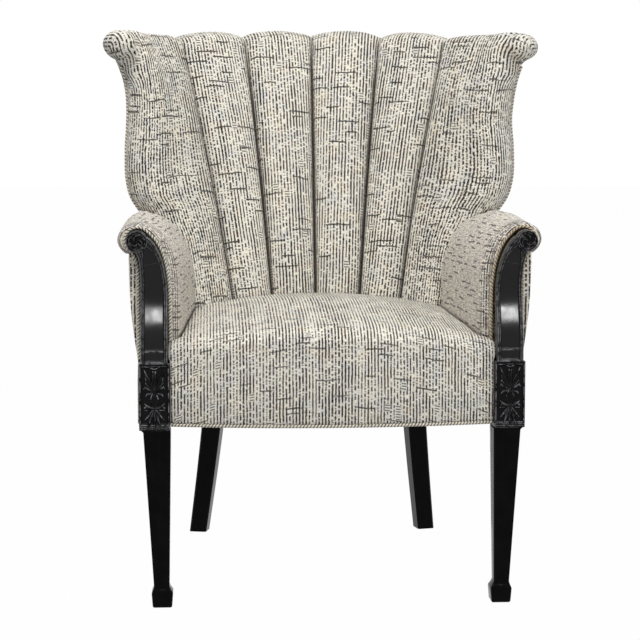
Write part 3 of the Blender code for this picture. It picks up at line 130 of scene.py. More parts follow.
# Back
KNEE_DEPTH = 0.508
CREST_Z = 0.945
LINES = (-1.0, 0.0, 1.0, 2.0, 3.0)
SEAM_Z = (0.360, 0.46998, 0.63998, 0.79998, 0.945)
COVER_SEAMS = ((0.073, 0.0825, 0.097, 0.1120, 0.1265), (0.141, 0.158, 0.187, 0.2190, 0.2470))
FRAME_SEAMS = ((0.073, 0.0825, 0.097, 0.1135, 0.132), (0.141, 0.158, 0.186, 0.2205, 0.260))
CENTRE_SEAM_SET = (-0.038, -0.023, 0.022, 0.067, 0.104)
INNER_SEAM_SET = (-0.047, -0.033, 0.012, 0.053, 0.087)
OUTER_SEAM_SET = (-0.076, -0.061, -0.018, 0.009, 0.033)
WING_Z = (0.360, 0.46998, 0.56, 0.63998, 0.70, 0.75, 0.80, 0.85, 0.89, 0.945)
WING_LINE_X = (0.262, 0.270, 0.283, 0.299, 0.316, 0.316, 0.312, 0.313, 0.319, 0.342)
WING_LINE_SET = (-0.12, -0.12, -0.12, -0.12, -0.118, -0.114, -0.109, -0.104, -0.1, -0.094)
SEAM_PAD = 0.020
SEAM_SLOT = 0.0045
SEAM_CREASE = 0.006
CREASE_SHARE = 0.035
CREASE_END = math.radians(50)
CROWN = (0.020, 0.024, 0.028, 0.027, 0.015)
CROWN_POWER = 0.6
CREST_POWER = 0.85
CREST_POWER_Z = 0.86
WING_CROWN_SHARE = 0.92
WING_EDGE_SHARE = 0.80
WING_PAD_END = 2.87
CREST_RADIUS = 0.016
EASE_LINES = (0.0, 0.5, 1.0, 1.5, 2.0, 2.4, 3.0)
CREST_EASE = (0.0065, 0.0100, 0.0095, 0.0150, 0.0180, 0.0240, 0.0240)
ROLL_END = math.radians(160)
ROLL_THIN_FROM = math.radians(60)
ROLL_END_PAD = 0.010

# Outside covers
OUTSIDE_DEPTH = 0.0524
OUTSIDE_TOP_Z = CREST_Z - 0.015
OUTSIDE_BACK_LINE = 2.05
PANEL_THICK = 0.003
RAIL_ROUND = 0.0166
OUT_DEPTH = (0.0453, 0.2000, 0.3700, 0.4400, 0.4850, 0.5143)
OUT_TOP_X = (0.3310, 0.3360, 0.3330, 0.3070, 0.2570, 0.2155)
OUT_WAIST_X = (0.3175, 0.2990, 0.2765, 0.2590, 0.2370, 0.2125)
OUT_BOTTOM_Z = 0.3003
OUT_TOP_Z = 0.5790
OUT_REAR_TOP_Z = 0.5900
OUT_RAIL_COVER = 0.0136
OUT_SWELL = 0.004
OUT_CLEAR = 0.0006
OUT_RISE_DEPTHS = (0.430, 0.450)
OUT_TURN = 0.0022
BACK_RAIL_HALF = 0.206
BACK_RAIL_DEPTH = 0.5315
OUT_WING_LINES = (2.057, 2.84)
OUT_WING_BOTTOM_Z = 0.583
OUT_WING_TUCK = 0.004
OUT_WING_SWELL = 0.003
BACK_OVER, WING_OVER = 128, 104

# Wing rolls and lobes
ROLL_HALF = 0.016
ROLL_DEEP = 0.032
ROLL_SET = 0.020
ROLL_START_Z = 0.570
ROLL_BOTTOM_Z = 0.628
ROLL_FULL_Z = 0.665
LEAST_ROLL = 0.004
LOBE_Z = 0.9345
LOBE_HALF = 0.0245
LOBE_DEEP = 0.034
LOBE_OUT = 0.016
LOBE_TALL = 0.0255
LOBE_LIFT = 0.003
LOBE_ROOT_LINE = 2.62
LOBE_ROOT = (0.030, 0.038, 0.0265)
WING_VOXEL = 0.0030
RIM_WAY = np.array((1.0, -0.75, 0.0))
REACH_Z = (0.55, 0.62, 0.66, 0.70, 0.76, 0.80, 0.84, 0.90, 0.945)
WING_REACH = {
    "left": (0.0, 0.004, 0.003, 0.0, -0.003, -0.0045, -0.0065, -0.0065, -0.003),
    "right": (0.0, 0.010, 0.011, 0.0100, 0.0075, 0.0055, 0.0070, 0.0110, 0.0100),
}
FRONT_POINTS, BRIDGE_POINTS, EDGE_POINTS, REAR_POINTS = 24, 10, 30, 10
RIM_POINT = FRONT_POINTS + BRIDGE_POINTS + 14
LAST_EDGE_POINT = FRONT_POINTS + BRIDGE_POINTS + EDGE_POINTS - 1
EDGE_TURN = np.radians((-62, 118))
WING_FRONT_END = 0.76
BRIDGE_REACH = 0.38
LOBE_BULGE = 0.003
WING_ROUNDS = 34
SEAM_HELD, SEAM_FREE = 0.004, 0.024
FLARE_LINE = 2.15
FLARE_WIDTH = 0.085
LIFT_NEAR = 0.050
LIFT_Z = (0.915, 0.945)

# Cloth on the wings
WING_CLOTH = 0.146
WING_CLOSER = 0.22
WING_SLANT = 0.52
CREST_CLOTH = 0.045
EDGE_ARM_Z = 0.626
EDGE_ROLL_Z = (0.655, 0.890)
EDGE_FULL = 0.35
LOBE_NEAR = 0.034
LOBE_FADE = 0.055

# Unevenness of the stuffing
STUFFING = 0.0012
STUFFING_SCALE = 21.0


# Shape of the chair, as in the CAD source

def back(depth):
    return FRONT_Y + depth


def mix(low, high, share):
    return low + (high - low) * share


def smooth(value):
    value = np.clip(value, 0.0, 1.0)
    return value * value * (3 - 2 * value)


def ramp(value, start, end):
    """Smooth step from 0 at the start to 1 at the end."""
    return smooth((value - start) / (end - start))


def unit(vectors):
    return vectors / np.linalg.norm(vectors, axis=-1, keepdims=True)


def xyz(*parts):
    """Points from their coordinates, each a number or an array."""
    return np.stack(np.broadcast_arrays(*parts), -1)


def hermite(stations, values, at):
    """Smooth curve through the values at the stations, held level past both ends."""
    stations, values = np.asarray(stations, float), np.asarray(values, float)
    at = np.clip(np.asarray(at, float), stations[0], stations[-1])
    index = np.arange(len(stations))
    before, after = np.maximum(index - 1, 0), np.minimum(index + 1, len(stations) - 1)
    span = stations[after] - stations[before]
    slope = (values[after] - values[before]) / (span[:, None] if values.ndim == 2 else span)
    low = np.searchsorted(stations[1:-1], at, side="left")

    def pick(table, which):
        if table.ndim == 1:
            return table[which]
        return np.take_along_axis(table, which[None], 0)[0]

    width = stations[low + 1] - stations[low]
    t = (at - stations[low]) / width
    first, second = pick(values, low), pick(values, low + 1)
    lead = t * (1 - t) ** 2 * width * pick(slope, low)
    trail = t * t * (t - 1) * width * pick(slope, low + 1)
    return first + (second - first) * smooth(t) + lead + trail


def seam_point(line, z, seams=COVER_SEAMS):
    """Front of the padding at a seam line: 0 the middle seam, 1 and 2 the others, 3 the wing line."""
    line, z = np.broadcast_arrays(np.asarray(line, float), np.asarray(z, float))
    reach, level = np.abs(line).ravel(), z.ravel()
    inner_x, outer_x, inner_d, outer_d, centre_d = (
        hermite(SEAM_Z, values, level)
        for values in (*seams, INNER_SEAM_SET, OUTER_SEAM_SET, CENTRE_SEAM_SET)
    )
    wing_x, wing_d = (hermite(WING_Z, values, level) for values in (WING_LINE_X, WING_LINE_SET))
    x = hermite(LINES, np.stack((-inner_x, 0 * inner_x, inner_x, outer_x, wing_x)), reach)
    depth = hermite(LINES, np.stack((inner_d, centre_d, inner_d, outer_d, wing_d)), reach)
    made = xyz(np.copysign(x, line.ravel()), back(KNEE_DEPTH + depth), level)
    return made.reshape(line.shape + (3,))


def back_axes(line, z, seams=COVER_SEAMS):
    """Directions across, up and backward through the back at a point of it."""
    line, z = np.broadcast_arrays(np.asarray(line, float), np.asarray(z, float))
    step = 0.01
    reach = np.minimum(np.abs(line), 3.0 - step) * np.where(line >= 0, 1.0, -1.0)
    across = unit(seam_point(reach + step, z, seams) - seam_point(reach - step, z, seams))
    low, high = np.maximum(z - step, SEAM_Z[0]), np.minimum(z + step, SEAM_Z[-1])
    up = unit(seam_point(reach, high, seams) - seam_point(reach, low, seams))
    return across, up, unit(np.cross(up, across))


def back_point(line, z, depth, seams=COVER_SEAMS):
    """A point the given distance behind the front of the padding at the seams."""
    return seam_point(line, z, seams) + back_axes(line, z, seams)[2] * np.asarray(depth)[..., None]


def crest_point(line, angle, radius, seams=COVER_SEAMS):
    """A point round the axis of the crest rail: angle 0 faces the sitter, a quarter turn is the top."""
    _, up, rear = back_axes(line, CREST_Z, seams)
    axis = seam_point(line, CREST_Z, seams) + rear * (SEAM_PAD + CREST_RADIUS)
    angle, radius = np.asarray(angle)[..., None], np.asarray(radius)[..., None]
    return axis + (up * np.sin(angle) - rear * np.cos(angle)) * radius


def line_at_x(x, z):
    """Seam line whose point at this height has this half width."""
    low, high = 0.0, 3.0
    for _ in range(40):
        middle = (low + high) / 2
        if seam_point(middle, z)[0] < x:
            low = middle
        else:
            high = middle
    return low


def arm_inside(depth):
    start = POST_BACK_DEPTH + GAP
    end = seam_point(line_at_x(ARM_INSIDE_X[-1], SEAM_Z[1]), SEAM_Z[1])[1] - FRONT_Y
    return hermite(ARM_SWELL_STATIONS, ARM_INSIDE_X, (np.asarray(depth) - start) / (end - start))


def rail_x(depth):
    """Half width of the seat frame at a depth, to the line of the side rails."""
    return mix(RAIL_FRONT_X, RAIL_BACK_X, (depth - BLOCK_WIDTH) / (KNEE_DEPTH - BLOCK_WIDTH))


def post_front(z):
    """Depth of the arm post's face: dished between the block and the scroll."""
    share = np.clip((np.asarray(z) - POST_DISH_LOW) / POST_DISH_LENGTH, 0.0, 1.0)
    return POST_DISH * np.abs(np.sin(math.pi * share ** 1.25)) ** 1.5


# Meshes

def stuff(mesh):
    """Slight unevenness of the stuffing under a cover, where it faces the front or up."""
    mesh.update()
    at, normals = np.zeros(len(mesh.vertices) * 3), np.zeros(len(mesh.vertices) * 3)
    mesh.vertices.foreach_get("co", at)
    mesh.vertices.foreach_get("normal", normals)
    at, normals = at.reshape(-1, 3), normals.reshape(-1, 3)
    shown = smooth(np.maximum(-normals[:, 1], np.abs(normals[:, 2])) / 0.6)
    spots = [Vector(spot) for spot in at * STUFFING_SCALE]
    rise = np.array([noise.noise(spot) + noise.noise(spot * 2.7) / 3 for spot in spots]) * STUFFING
    mesh.vertices.foreach_set("co", (at + normals * (rise * shown)[:, None]).ravel())
    mesh.update()


def loft_faces(rows, count, closed=True):
    """Faces between rows of points; a closed loft goes round each row and has both ends capped."""
    faces = []
    for r in range(rows - 1):
        for i in range(count if closed else count - 1):
            j = (i + 1) % count
            faces.append((r * count + i, r * count + j, (r + 1) * count + j, (r + 1) * count + i))
    if closed:
        faces.append(tuple(range(count)))
        faces.append(tuple(range((rows - 1) * count, rows * count)))
    return faces


def add_piece(name, rings, look, cloth=None, replaces=(), fill=None, mirror=False, faces=None):
    """Object lofted through rings of points, or with the faces given, riding on the chair's one body."""
    if faces is None:
        faces = loft_faces(*np.shape(rings)[:2])
    points = np.array(rings, float).reshape(-1, 3)
    if mirror:
        points[:, 0] *= -1
    mesh = bpy.data.meshes.new(name)
    mesh.from_pydata(points.tolist(), [], faces)
    if fill is not None:
        stuff(mesh)
    if cloth is not None:
        layer = mesh.attributes.new("cloth", "FLOAT_VECTOR", "POINT")
        layer.data.foreach_set("vector", np.asarray(cloth, np.float32).ravel())
    bm = bmesh.new()
    bm.from_mesh(mesh)
    bmesh.ops.triangulate(bm, faces=[face for face in bm.faces if len(face.verts) > 4])
    bmesh.ops.recalc_face_normals(bm, faces=bm.faces)
    for face in bm.faces:
        face.smooth = True
    bm.to_mesh(mesh)
    bm.free()
    mesh.materials.append(look)
    made = bpy.data.objects.new(name, mesh)
    scene.collection.objects.link(made)
    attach(made, "root")
    if replaces:
        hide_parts(*replaces)
    return made


def add_side(name, label, rings, look, replaces, cloth=None, fill=None, faces=None):
    """One of a pair of pieces, its points given for the right."""
    nodes = (f"{replaces}_{label}",)
    add_piece(f"{name}_{label}", rings, look, cloth, nodes, fill, label == "left", faces)


def welded(points, faces, cloth):
    """The same surface with points that share one place made one, and faces without area left out."""
    points = np.asarray(points, float).reshape(-1, 3)
    cloth = np.asarray(cloth, float).reshape(-1, 3)
    _, first, place = np.unique(np.round(points, 7), axis=0, return_index=True, return_inverse=True)
    place = place.ravel()
    kept = []
    for face in faces:
        corners = [int(place[k]) for k in face]
        corners = [c for k, c in enumerate(corners) if c != corners[k - 1]]
        if len(set(corners)) > 2:
            kept.append(tuple(corners))
    return points[first], kept, cloth[first]


def run_length(points, axis=0):
    """Distance along the rows or columns of a grid of points."""
    steps = np.linalg.norm(np.diff(points, axis=axis), axis=-1)
    start = np.zeros_like(np.take(steps, [0], axis=axis))
    return np.concatenate((start, np.cumsum(steps, axis=axis)), axis=axis)


def resample(points, count):
    """The same path with its points evenly spaced."""
    points = np.asarray(points, float)
    run = run_length(points)
    at = np.linspace(0.0, run[-1], count)
    return np.stack([np.interp(at, run, points[:, k]) for k in range(3)], -1)


def eased(path, rounds):
    """The same path with its corners softened and its ends kept."""
    path = np.array(path)
    for _ in range(rounds):
        path[1:-1] = (path[:-2] + 2 * path[1:-1] + path[2:]) / 4
    return path


# Materials

def node_step(kind, turned=False):
    """Method that puts one math node after a value."""
    def step(self, other=0.0):
        return self.tree.math(kind, *((other, self) if turned else (self, other)))
    return step


class Value:
    """Output of a node, to reckon with like a number."""

    def __init__(self, tree, socket):
        self.tree, self.socket = tree, socket

    __add__, __sub__, __mul__ = node_step("ADD"), node_step("SUBTRACT"), node_step("MULTIPLY")
    __rsub__ = node_step("SUBTRACT", turned=True)
    __lt__, __gt__ = node_step("LESS_THAN"), node_step("GREATER_THAN")
    floor, part, size = node_step("FLOOR"), node_step("FRACT"), node_step("ABSOLUTE")
    most, least = node_step("MAXIMUM"), node_step("MINIMUM")

    def scaled(self, by, plus):
        return self.tree.math("MULTIPLY_ADD", self, by, plus)

    def off_middle(self):
        """Distance from the middle of the unit step that the value lies in."""
        return (self.part() - 0.5).size()

    def fade(self, low, high, to_low=0.0, to_high=1.0):
        ends = {"From Min": low, "From Max": high, "To Min": to_low, "To Max": to_high}
        node = self.tree.node("MapRange", Value=self, **ends)
        node.interpolation_type = "SMOOTHSTEP"
        return Value(self.tree, node.outputs["Result"])


class Tree:
    """Short names for the nodes of one material or world."""

    def __init__(self, holder):
        holder.use_nodes = True
        self.holder = holder
        self.tree = holder.node_tree
        self.shader = self.tree.nodes.get("Principled BSDF")

    def put(self, socket, value):
        value = value.socket if isinstance(value, Value) else value
        if isinstance(value, bpy.types.NodeSocket):
            self.tree.links.new(value, socket)
        else:
            socket.default_value = value

    def node(self, kind, **inputs):
        made = self.tree.nodes.new("ShaderNode" + kind)
        for key, value in inputs.items():
            self.put(made.inputs[key], value)
        return made

    def math(self, kind, a, b=0.0, c=0.0):
        node = self.node("Math")
        node.operation = kind
        for socket, value in zip(node.inputs, (a, b, c)):
            self.put(socket, value)
        return Value(self, node.outputs[0])

    def vector(self, x, y, z):
        return self.node("CombineXYZ", X=x, Y=y, Z=z).outputs[0]

    def split(self, vector):
        return [Value(self, socket) for socket in self.node("SeparateXYZ", Vector=vector).outputs]

    def white(self, x, y, z):
        node = self.node("TexWhiteNoise", Vector=self.vector(x, y, z))
        node.noise_dimensions = "3D"
        return Value(self, node.outputs["Value"])

    def noise(self, vector, scale=1.0, detail=2.0, rough=0.5):
        node = self.node("TexNoise", Vector=vector, Scale=scale, Detail=detail, Roughness=rough)
        return Value(self, node.outputs["Fac"])

    def grain(self, stretch):
        """Noise in the piece's own place, drawn out along one way."""
        mapping = self.node("Mapping", Vector=self.place(), Scale=stretch)
        return self.noise(mapping.outputs["Vector"], 1.0, 4.0, 0.6)

    def blend(self, share, a, b):
        node = self.node("Mix")
        node.data_type = "RGBA"
        sockets = {s.identifier: s for s in node.inputs}
        self.put(sockets["Factor_Float"], share)
        for key, colour in (("A_Color", a), ("B_Color", b)):
            self.put(sockets[key], colour if isinstance(colour, Value) else (*colour, 1.0))
        return Value(self, {s.identifier: s for s in node.outputs}["Result_Color"])

    def place(self):
        return self.node("TexCoord").outputs["Object"]

    def cloth(self):
        node = self.node("Attribute")
        node.attribute_name = "cloth"
        return self.split(node.outputs["Vector"])

    def bump(self, height, strength, distance):
        node = self.node("Bump", Strength=strength, Distance=distance, Height=height)
        self.put(self.shader.inputs["Normal"], node.outputs["Normal"])

    def set(self, **values):
        for key, value in values.items():
            self.put(self.shader.inputs[key.replace("_", " ")], value)
        return self.holder


def material(name):
    return Tree(bpy.data.materials.new(name))


CREAM = (0.930, 0.890, 0.785)
GREY_CREAM = (0.80, 0.79, 0.75)
TAN_CREAM = (0.87, 0.77, 0.62)
BLUE_CREAM = (0.68, 0.70, 0.73)
SHADED_CREAM = (0.55, 0.50, 0.42)
ARM_CREAM = (0.88, 0.78, 0.71)
CHARCOAL = (0.018, 0.015, 0.015)
BROWN_YARN = (0.050, 0.036, 0.030)
# Painted shade: the brown laid into creases, seams and junctions, and the ambient occlusion reach that
# finds them
PAINTED_TUCK_SHADE = (0.055, 0.040, 0.030)
TUCK_SHADE = 0.010
LINE_PITCH = 0.0061
SLUB_ROW = 0.0100
SLUB_CELL = 0.058
LADDER_WIDE = 0.0105
LADDER_TALL = 0.0150
RUNG_PITCH = 0.0050
ARM_SEEDS = (40.0, 50.0)  # each cover's weave has a seed, those of the arms between these


def cover_fabric():
    """Cream ground with broken charcoal warp lines, weft slubs, small ladders and specks, and brown shade
    painted into its creases and seams.
    """
    t = material("cover_fabric_weave")
    u, v, seed = t.cloth()

    def cloud(per_u, per_v, shift=0.0, detail=2.0):
        return t.noise(t.vector(u * per_u, v * per_v, seed + shift if shift else seed), 1.0, detail)

    # Warp lines, each broken into dashes or dots
    waver, fuzz = cloud(30.0, 22.0), cloud(400.0, 400.0, detail=1.0)
    columns = (u + waver.scaled(0.0026, -0.0013) + fuzz.scaled(0.0024, -0.0012)) * (1 / LINE_PITCH)
    column = columns.floor()
    weight = t.white(column, 8.2, seed).scaled(0.50, 0.80)
    grain = cloud(420.0, 260.0, detail=1.0)
    half = grain.scaled(0.22, 0.115) * weight
    line = columns.off_middle().fade(half + 0.06, half - 0.06)
    on_arm = (seed > ARM_SEEDS[0]) * (seed < ARM_SEEDS[1])
    dotted = cloud(34.0, 13.0, 3.0, 1.0).fade(0.38, 0.55)
    long_run = t.noise(t.vector(column * 5.31, v * 85.0, seed), 1.0, 3.0, 0.70)
    dots = t.noise(t.vector(column * 7.77, v * 250.0, seed), 1.0, 2.0, 0.60)
    run = long_run * (1.0 - dotted) + dots * dotted
    level = dotted.scaled(0.055, 0.410)
    dash = run.fade(level - 0.03, level + 0.03)
    deep_arm = on_arm * u.fade(0.030, 0.055, 0.0, 0.62)
    mark = line * dash * (1.0 - deep_arm)

    # Weft slubs
    sway = cloud(26.0, 9.0)
    rows = (v + sway.scaled(0.0100, -0.0050)) * (1 / SLUB_ROW)
    row = rows.floor()
    cells = u * (1 / SLUB_CELL) + t.white(row, 1.3, seed) * 7.0
    cell, along = cells.floor(), cells.part()
    chance, first, last = (t.white(cell, row, seed + shift) for shift in (2.0, 3.0, 4.0))
    rare = on_arm.scaled(-0.34, 0.83)
    here = (chance > rare) * ((along > first * 0.45) * (along < last.scaled(0.45, 0.55)))
    thick = grain.scaled(0.15, 0.065)
    slub = here * rows.off_middle().fade(thick + 0.05, thick - 0.05)

    # Ladders, which stand in place of a line
    rung_u, rung_v = u * (1 / LADDER_WIDE), v * (1 / LADDER_TALL)
    ladder = t.white(rung_u.floor(), rung_v.floor(), seed + 5.0) > 0.980
    rungs = (v * (1 / RUNG_PITCH)).off_middle().fade(0.28, 0.18)
    ladders = ladder * (rung_u.off_middle().fade(0.46, 0.40) * rungs)
    lines = mark * (1.0 - ladder) * grain.scaled(0.5, 0.74)

    # Specks
    fleck_u = u * on_arm.scaled(-500.0, 560.0)
    fleck = t.noise(t.vector(fleck_u, v * 430.0, seed + 13.0), 1.0, 1.0)
    bare = on_arm.scaled(-0.075, 0.54)
    flecks = fleck.fade(bare, bare + 0.11) * on_arm.scaled(0.17, 0.36)
    dark = lines.most(slub * 0.96).most(ladders * 0.85).most(flecks).least(1.0)

    tone, tint = cloud(26.0, 20.0, 8.0), cloud(34.0, 34.0, 11.0)
    thread = cloud(900.0, 700.0)
    ground = CREAM
    for share, tinted in (
        (tone.fade(0.36, 0.62, 0.0, 0.55), GREY_CREAM),
        (tint.fade(0.52, 0.72, 0.0, 0.45), TAN_CREAM),
        (tint.fade(0.44, 0.28, 0.0, 0.45), BLUE_CREAM),
        (thread.fade(0.35, 0.65, 0.16, 0.0), SHADED_CREAM),
        (on_arm * 0.30, ARM_CREAM),
    ):
        ground = t.blend(share, ground, tinted)
    yarn = t.blend(tint.fade(0.35, 0.70), CHARCOAL, BROWN_YARN)
    colour = t.blend(dark, ground, yarn)
    # Painted shade: the colour turns brown where ambient occlusion within TUCK_SHADE finds creases, seams
    # and junctions
    pressed = t.node("AmbientOcclusion", Distance=TUCK_SHADE)
    pressed.samples = 6
    tucked = Value(t, pressed.outputs["AO"]).fade(0.20, 0.72, 0.85, 0.0)
    colour = t.blend(tucked, colour, PAINTED_TUCK_SHADE)
    t.bump(dark * 0.6 + thread * 0.5, 0.35, 0.0008)
    t.set(Sheen_Weight=0.08, Sheen_Roughness=0.5)
    return t.set(Base_Color=colour, Roughness=0.88, Specular_IOR_Level=0.2)


def welt_fabric(name, cream, dark):
    """The cover cut on the cross round a cord, so that its lines wind about it."""
    t = material(name)
    phase, run, seed = t.cloth()
    break_up = t.noise(t.vector(run * 320.0, seed, phase), 1.0, 2.0)
    stripe = (phase + break_up.scaled(1.5, -0.75)).fade(0.15, -0.60)
    t.bump(t.noise(t.place(), 900.0, 2.0), 0.3, 0.0006)
    return t.set(Base_Color=t.blend(stripe * 0.92, cream, dark), Roughness=0.88, Specular_IOR_Level=0.25)


def show_wood(name, shine, wear_and_highlight_share):
    """Ebonised wood, half gloss; sharp edges that face the front are painted grey in patches, partly wear
    and partly a painted highlight.
    """
    t = material(name)
    place = t.place()
    grain, cloud = t.grain((260.0, 260.0, 14.0)), t.noise(place, 38.0, 3.0)
    edge = Value(t, t.node("NewGeometry").outputs["Pointiness"]).fade(0.508, 0.545)
    patchy = t.noise(place, 140.0, 4.0).fade(0.36, 0.62, 0.0, wear_and_highlight_share)
    in_front = t.split(t.node("TexCoord").outputs["Normal"])[1].fade(-0.15, -0.45)
    # Painted highlight and wear: sharp edges, in patches, where they face the front
    wear_and_highlight = edge * (patchy * in_front)
    base = t.blend(cloud.fade(0.35, 0.70), (0.0012, 0.0011, 0.0015), (0.0030, 0.0027, 0.0032))
    base = t.blend(grain.fade(0.50, 0.72, 0.0, 0.30), base, (0.008, 0.0066, 0.0062))
    # Bluish grey of the painted highlight and wear
    base = t.blend(wear_and_highlight * 0.85, base, (0.250, 0.252, 0.272))
    gloss = cloud.fade(0.3, 0.75, 0.13, 0.20) + wear_and_highlight * 0.2
    t.bump(grain, 0.10, 0.0005)
    return t.set(Base_Color=base, Roughness=gloss, Specular_IOR_Level=shine)


def plain(name, low, high, stretch, rough, metallic=0.0):
    """Two tones along a stretched grain."""
    t = material(name)
    grain = t.grain(stretch)
    t.bump(grain, 0.3, 0.0008)
    return t.set(Base_Color=t.blend(grain.fade(0.3, 0.7), low, high), Roughness=rough, Metallic=metallic)


FABRIC = cover_fabric()
WELT = welt_fabric("welt_fabric", (0.78, 0.73, 0.62), (0.060, 0.050, 0.046))
TAN_WELT = welt_fabric("welt_fabric_warm", (0.62, 0.52, 0.37), (0.11, 0.075, 0.045))
# The last number is the share of painted highlight and wear on the edges
WOOD = show_wood("ebonised_wood", 0.045, 0.0)
CARVED = show_wood("ebonised_wood_carved", 0.100, 1.0)
POLISHED = show_wood("ebonised_wood_polished", 0.230, 0.8)
LOOKS = {
    "show_wood": WOOD,
    "frame_wood": plain("beech_frame", (0.42, 0.28, 0.15), (0.58, 0.42, 0.25), (30, 240, 240), 0.65),
    "spring_steel": plain("spring_wire", (0.20, 0.19, 0.18), (0.42, 0.41, 0.40), (90, 90, 90), 0.42, 1.0),
    "webbing": plain("jute_webbing", (0.34, 0.26, 0.16), (0.52, 0.42, 0.28), (420, 420, 420), 0.92),
    "hessian": plain("hessian_cloth", (0.38, 0.29, 0.17), (0.58, 0.47, 0.31), (520, 520, 520), 0.95),
}
DUST = plain("dust_cloth_weave", (0.012, 0.012, 0.013), (0.035, 0.035, 0.036), (700, 700, 700), 0.92)

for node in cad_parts.values():
    for place in node.material_slots:
        found = place.material.name.split(".")[0] if place.material else ""
        if found in LOOKS:
            place.material = LOOKS[found]


# Back channels and wings

def channel_profile(share, wing=False, power=CROWN_POWER):
    """Fullness of a channel across its width; a wing channel stays full to its outer edge."""
    full = np.maximum(0.0, 1 - (2 * share - 1) ** 2) ** power
    if wing:
        outer = mix(1.0, WING_EDGE_SHARE, smooth(2 * share - 1))
        full = np.where(share > 0.5, outer, full) * WING_CROWN_SHARE
    return full


def crest_pad(line, angle, full):
    """Radius of the padding round the crest rail, thinner towards its end behind."""
    thin = ramp(angle, ROLL_THIN_FROM, ROLL_END)
    pressed = hermite(EASE_LINES, CREST_EASE, np.abs(line)) * smooth(angle / ROLL_THIN_FROM)
    return CREST_RADIUS + mix(full - pressed, ROLL_END_PAD, thin)


def inner_channel(number, low):
    """One of the four middle channels, from the line given to the next, up the back and over the crest."""
    shares = (1 - np.cos(np.linspace(0, math.pi, 35))) / 2
    middle = len(shares) // 2
    levels = np.linspace(ARM_BOTTOM_Z, CREST_Z, 64)[:, None]
    turns = np.linspace(0, ROLL_END, 26)[1:, None]
    lines = low + mix(SEAM_SLOT, 1 - SEAM_SLOT, shares)
    crease = SEAM_CREASE * np.exp(-(np.minimum(shares, 1 - shares) / CREASE_SHARE) ** 2)
    power = mix(CROWN_POWER, CREST_POWER, ramp(levels, CREST_POWER_Z, CREST_Z))
    crown = hermite(SEAM_Z, CROWN, levels) * channel_profile(shares, power=power) - crease
    radius = crest_pad(lines, turns, SEAM_PAD + CROWN[-1] * channel_profile(shares, power=CREST_POWER))
    radius = radius - crease * (1 - smooth(turns / CREASE_END))
    front = np.concatenate((back_point(lines, levels, -crown), crest_point(lines, turns, radius)))
    few = lines[::-4]
    rear = np.concatenate((back_point(few, levels, SEAM_PAD), crest_point(few, turns, CREST_RADIUS)))
    across = run_length(front, 1)
    across -= across[:, [middle]]
    cloth = xyz(across, run_length(front[:, middle])[:, None], number)
    add_piece(
        f"channel_{number}", np.concatenate((front, rear), 1), FABRIC,
        np.concatenate((cloth, cloth[:, ::-4]), 1), (f"back_channel_{number}",), 0.9,
    )


def roll_frame(z, half):
    """Middle of the wing roll beside the wing channel's outer face, and its level directions."""
    across, _, rear = back_axes(WING_PAD_END, min(z, CREST_Z))
    along = unit(across * (1, 1, 0))
    behind = unit(rear * (1, 1, 0))
    at = seam_point(WING_PAD_END, min(z, CREST_Z)) + along * (half + GAP) + behind * ROLL_SET
    return at, along, behind


def roll_size(z):
    """Half width and half depth of the wing roll, which grows out of the arm."""
    grow = mix(0.25, 0.60, ramp(z, ROLL_START_Z, ROLL_BOTTOM_Z))
    grow = mix(grow, 1.0, ramp(z, ROLL_BOTTOM_Z, ROLL_FULL_Z))
    return ROLL_HALF * grow, ROLL_DEEP * grow


def lobe_frame():
    at, along, behind = roll_frame(LOBE_Z, LOBE_HALF)
    at = at + along * LOBE_OUT
    at[2] = LOBE_Z
    return at, along, behind


def oval(at, along, behind, half, deep, turn):
    return at + along * (half * np.cos(turn)) + behind * (deep * np.sin(turn))


def wing_section(z):
    """Level outline of the right wing: over its front, round its outer edge, back along the frame."""
    shares = (1 - np.cos(np.linspace(0, math.pi * 0.62, FRONT_POINTS))) / 2
    shares = shares / shares[-1] * WING_FRONT_END
    lines = mix(2 + SEAM_SLOT, WING_PAD_END, shares)
    front = back_point(lines, z, -hermite(SEAM_Z, CROWN, z) * channel_profile(shares, True))
    half, deep = roll_size(z)
    turns = np.linspace(*EDGE_TURN, EDGE_POINTS)[:, None]
    edge = oval(*roll_frame(z, half), half, deep, turns)
    a, b = front[-1], edge[0]
    reach = np.linalg.norm(b - a) * BRIDGE_REACH
    lead, trail = a + unit(front[-1] - front[-2]) * reach, b - unit(edge[1] - edge[0]) * reach
    t = np.linspace(0, 1, BRIDGE_POINTS + 2)[1:-1, None]
    bridge = (1 - t) ** 3 * a + 3 * t * (1 - t) ** 2 * lead + 3 * t * t * (1 - t) * trail + t ** 3 * b
    rear_lines = np.linspace(WING_PAD_END, 2 + SEAM_SLOT, REAR_POINTS)
    return front, bridge, edge, back_point(rear_lines, z, SEAM_PAD), lines, rear_lines


def wing_turn(angle, parts):
    """The same outline carried over the crest rail."""
    _, bridge, edge, _, lines, rear_lines = parts
    shares = (lines - lines[0]) / (WING_PAD_END - lines[0])
    full = SEAM_PAD + CROWN[-1] * channel_profile(shares, True)
    top = crest_point(lines, angle, crest_pad(lines, angle, full))
    across, up, ahead = back_axes(WING_PAD_END, CREST_Z)
    axis = seam_point(WING_PAD_END, CREST_Z) + ahead * (SEAM_PAD + CREST_RADIUS)
    offset = np.concatenate((bridge, edge)) - axis
    radius = np.maximum(-(offset @ ahead), LEAST_ROLL)
    full = crest_pad(WING_PAD_END, angle, radius - CREST_RADIUS)
    radius = np.where(radius > LEAST_ROLL, np.maximum(full, LEAST_ROLL), LEAST_ROLL)
    aside = across * (offset @ across)[:, None]
    outer = axis + aside + (up * math.sin(angle) - ahead * math.cos(angle)) * radius[:, None]
    return np.concatenate((top, outer, crest_point(rear_lines, angle, CREST_RADIUS)))


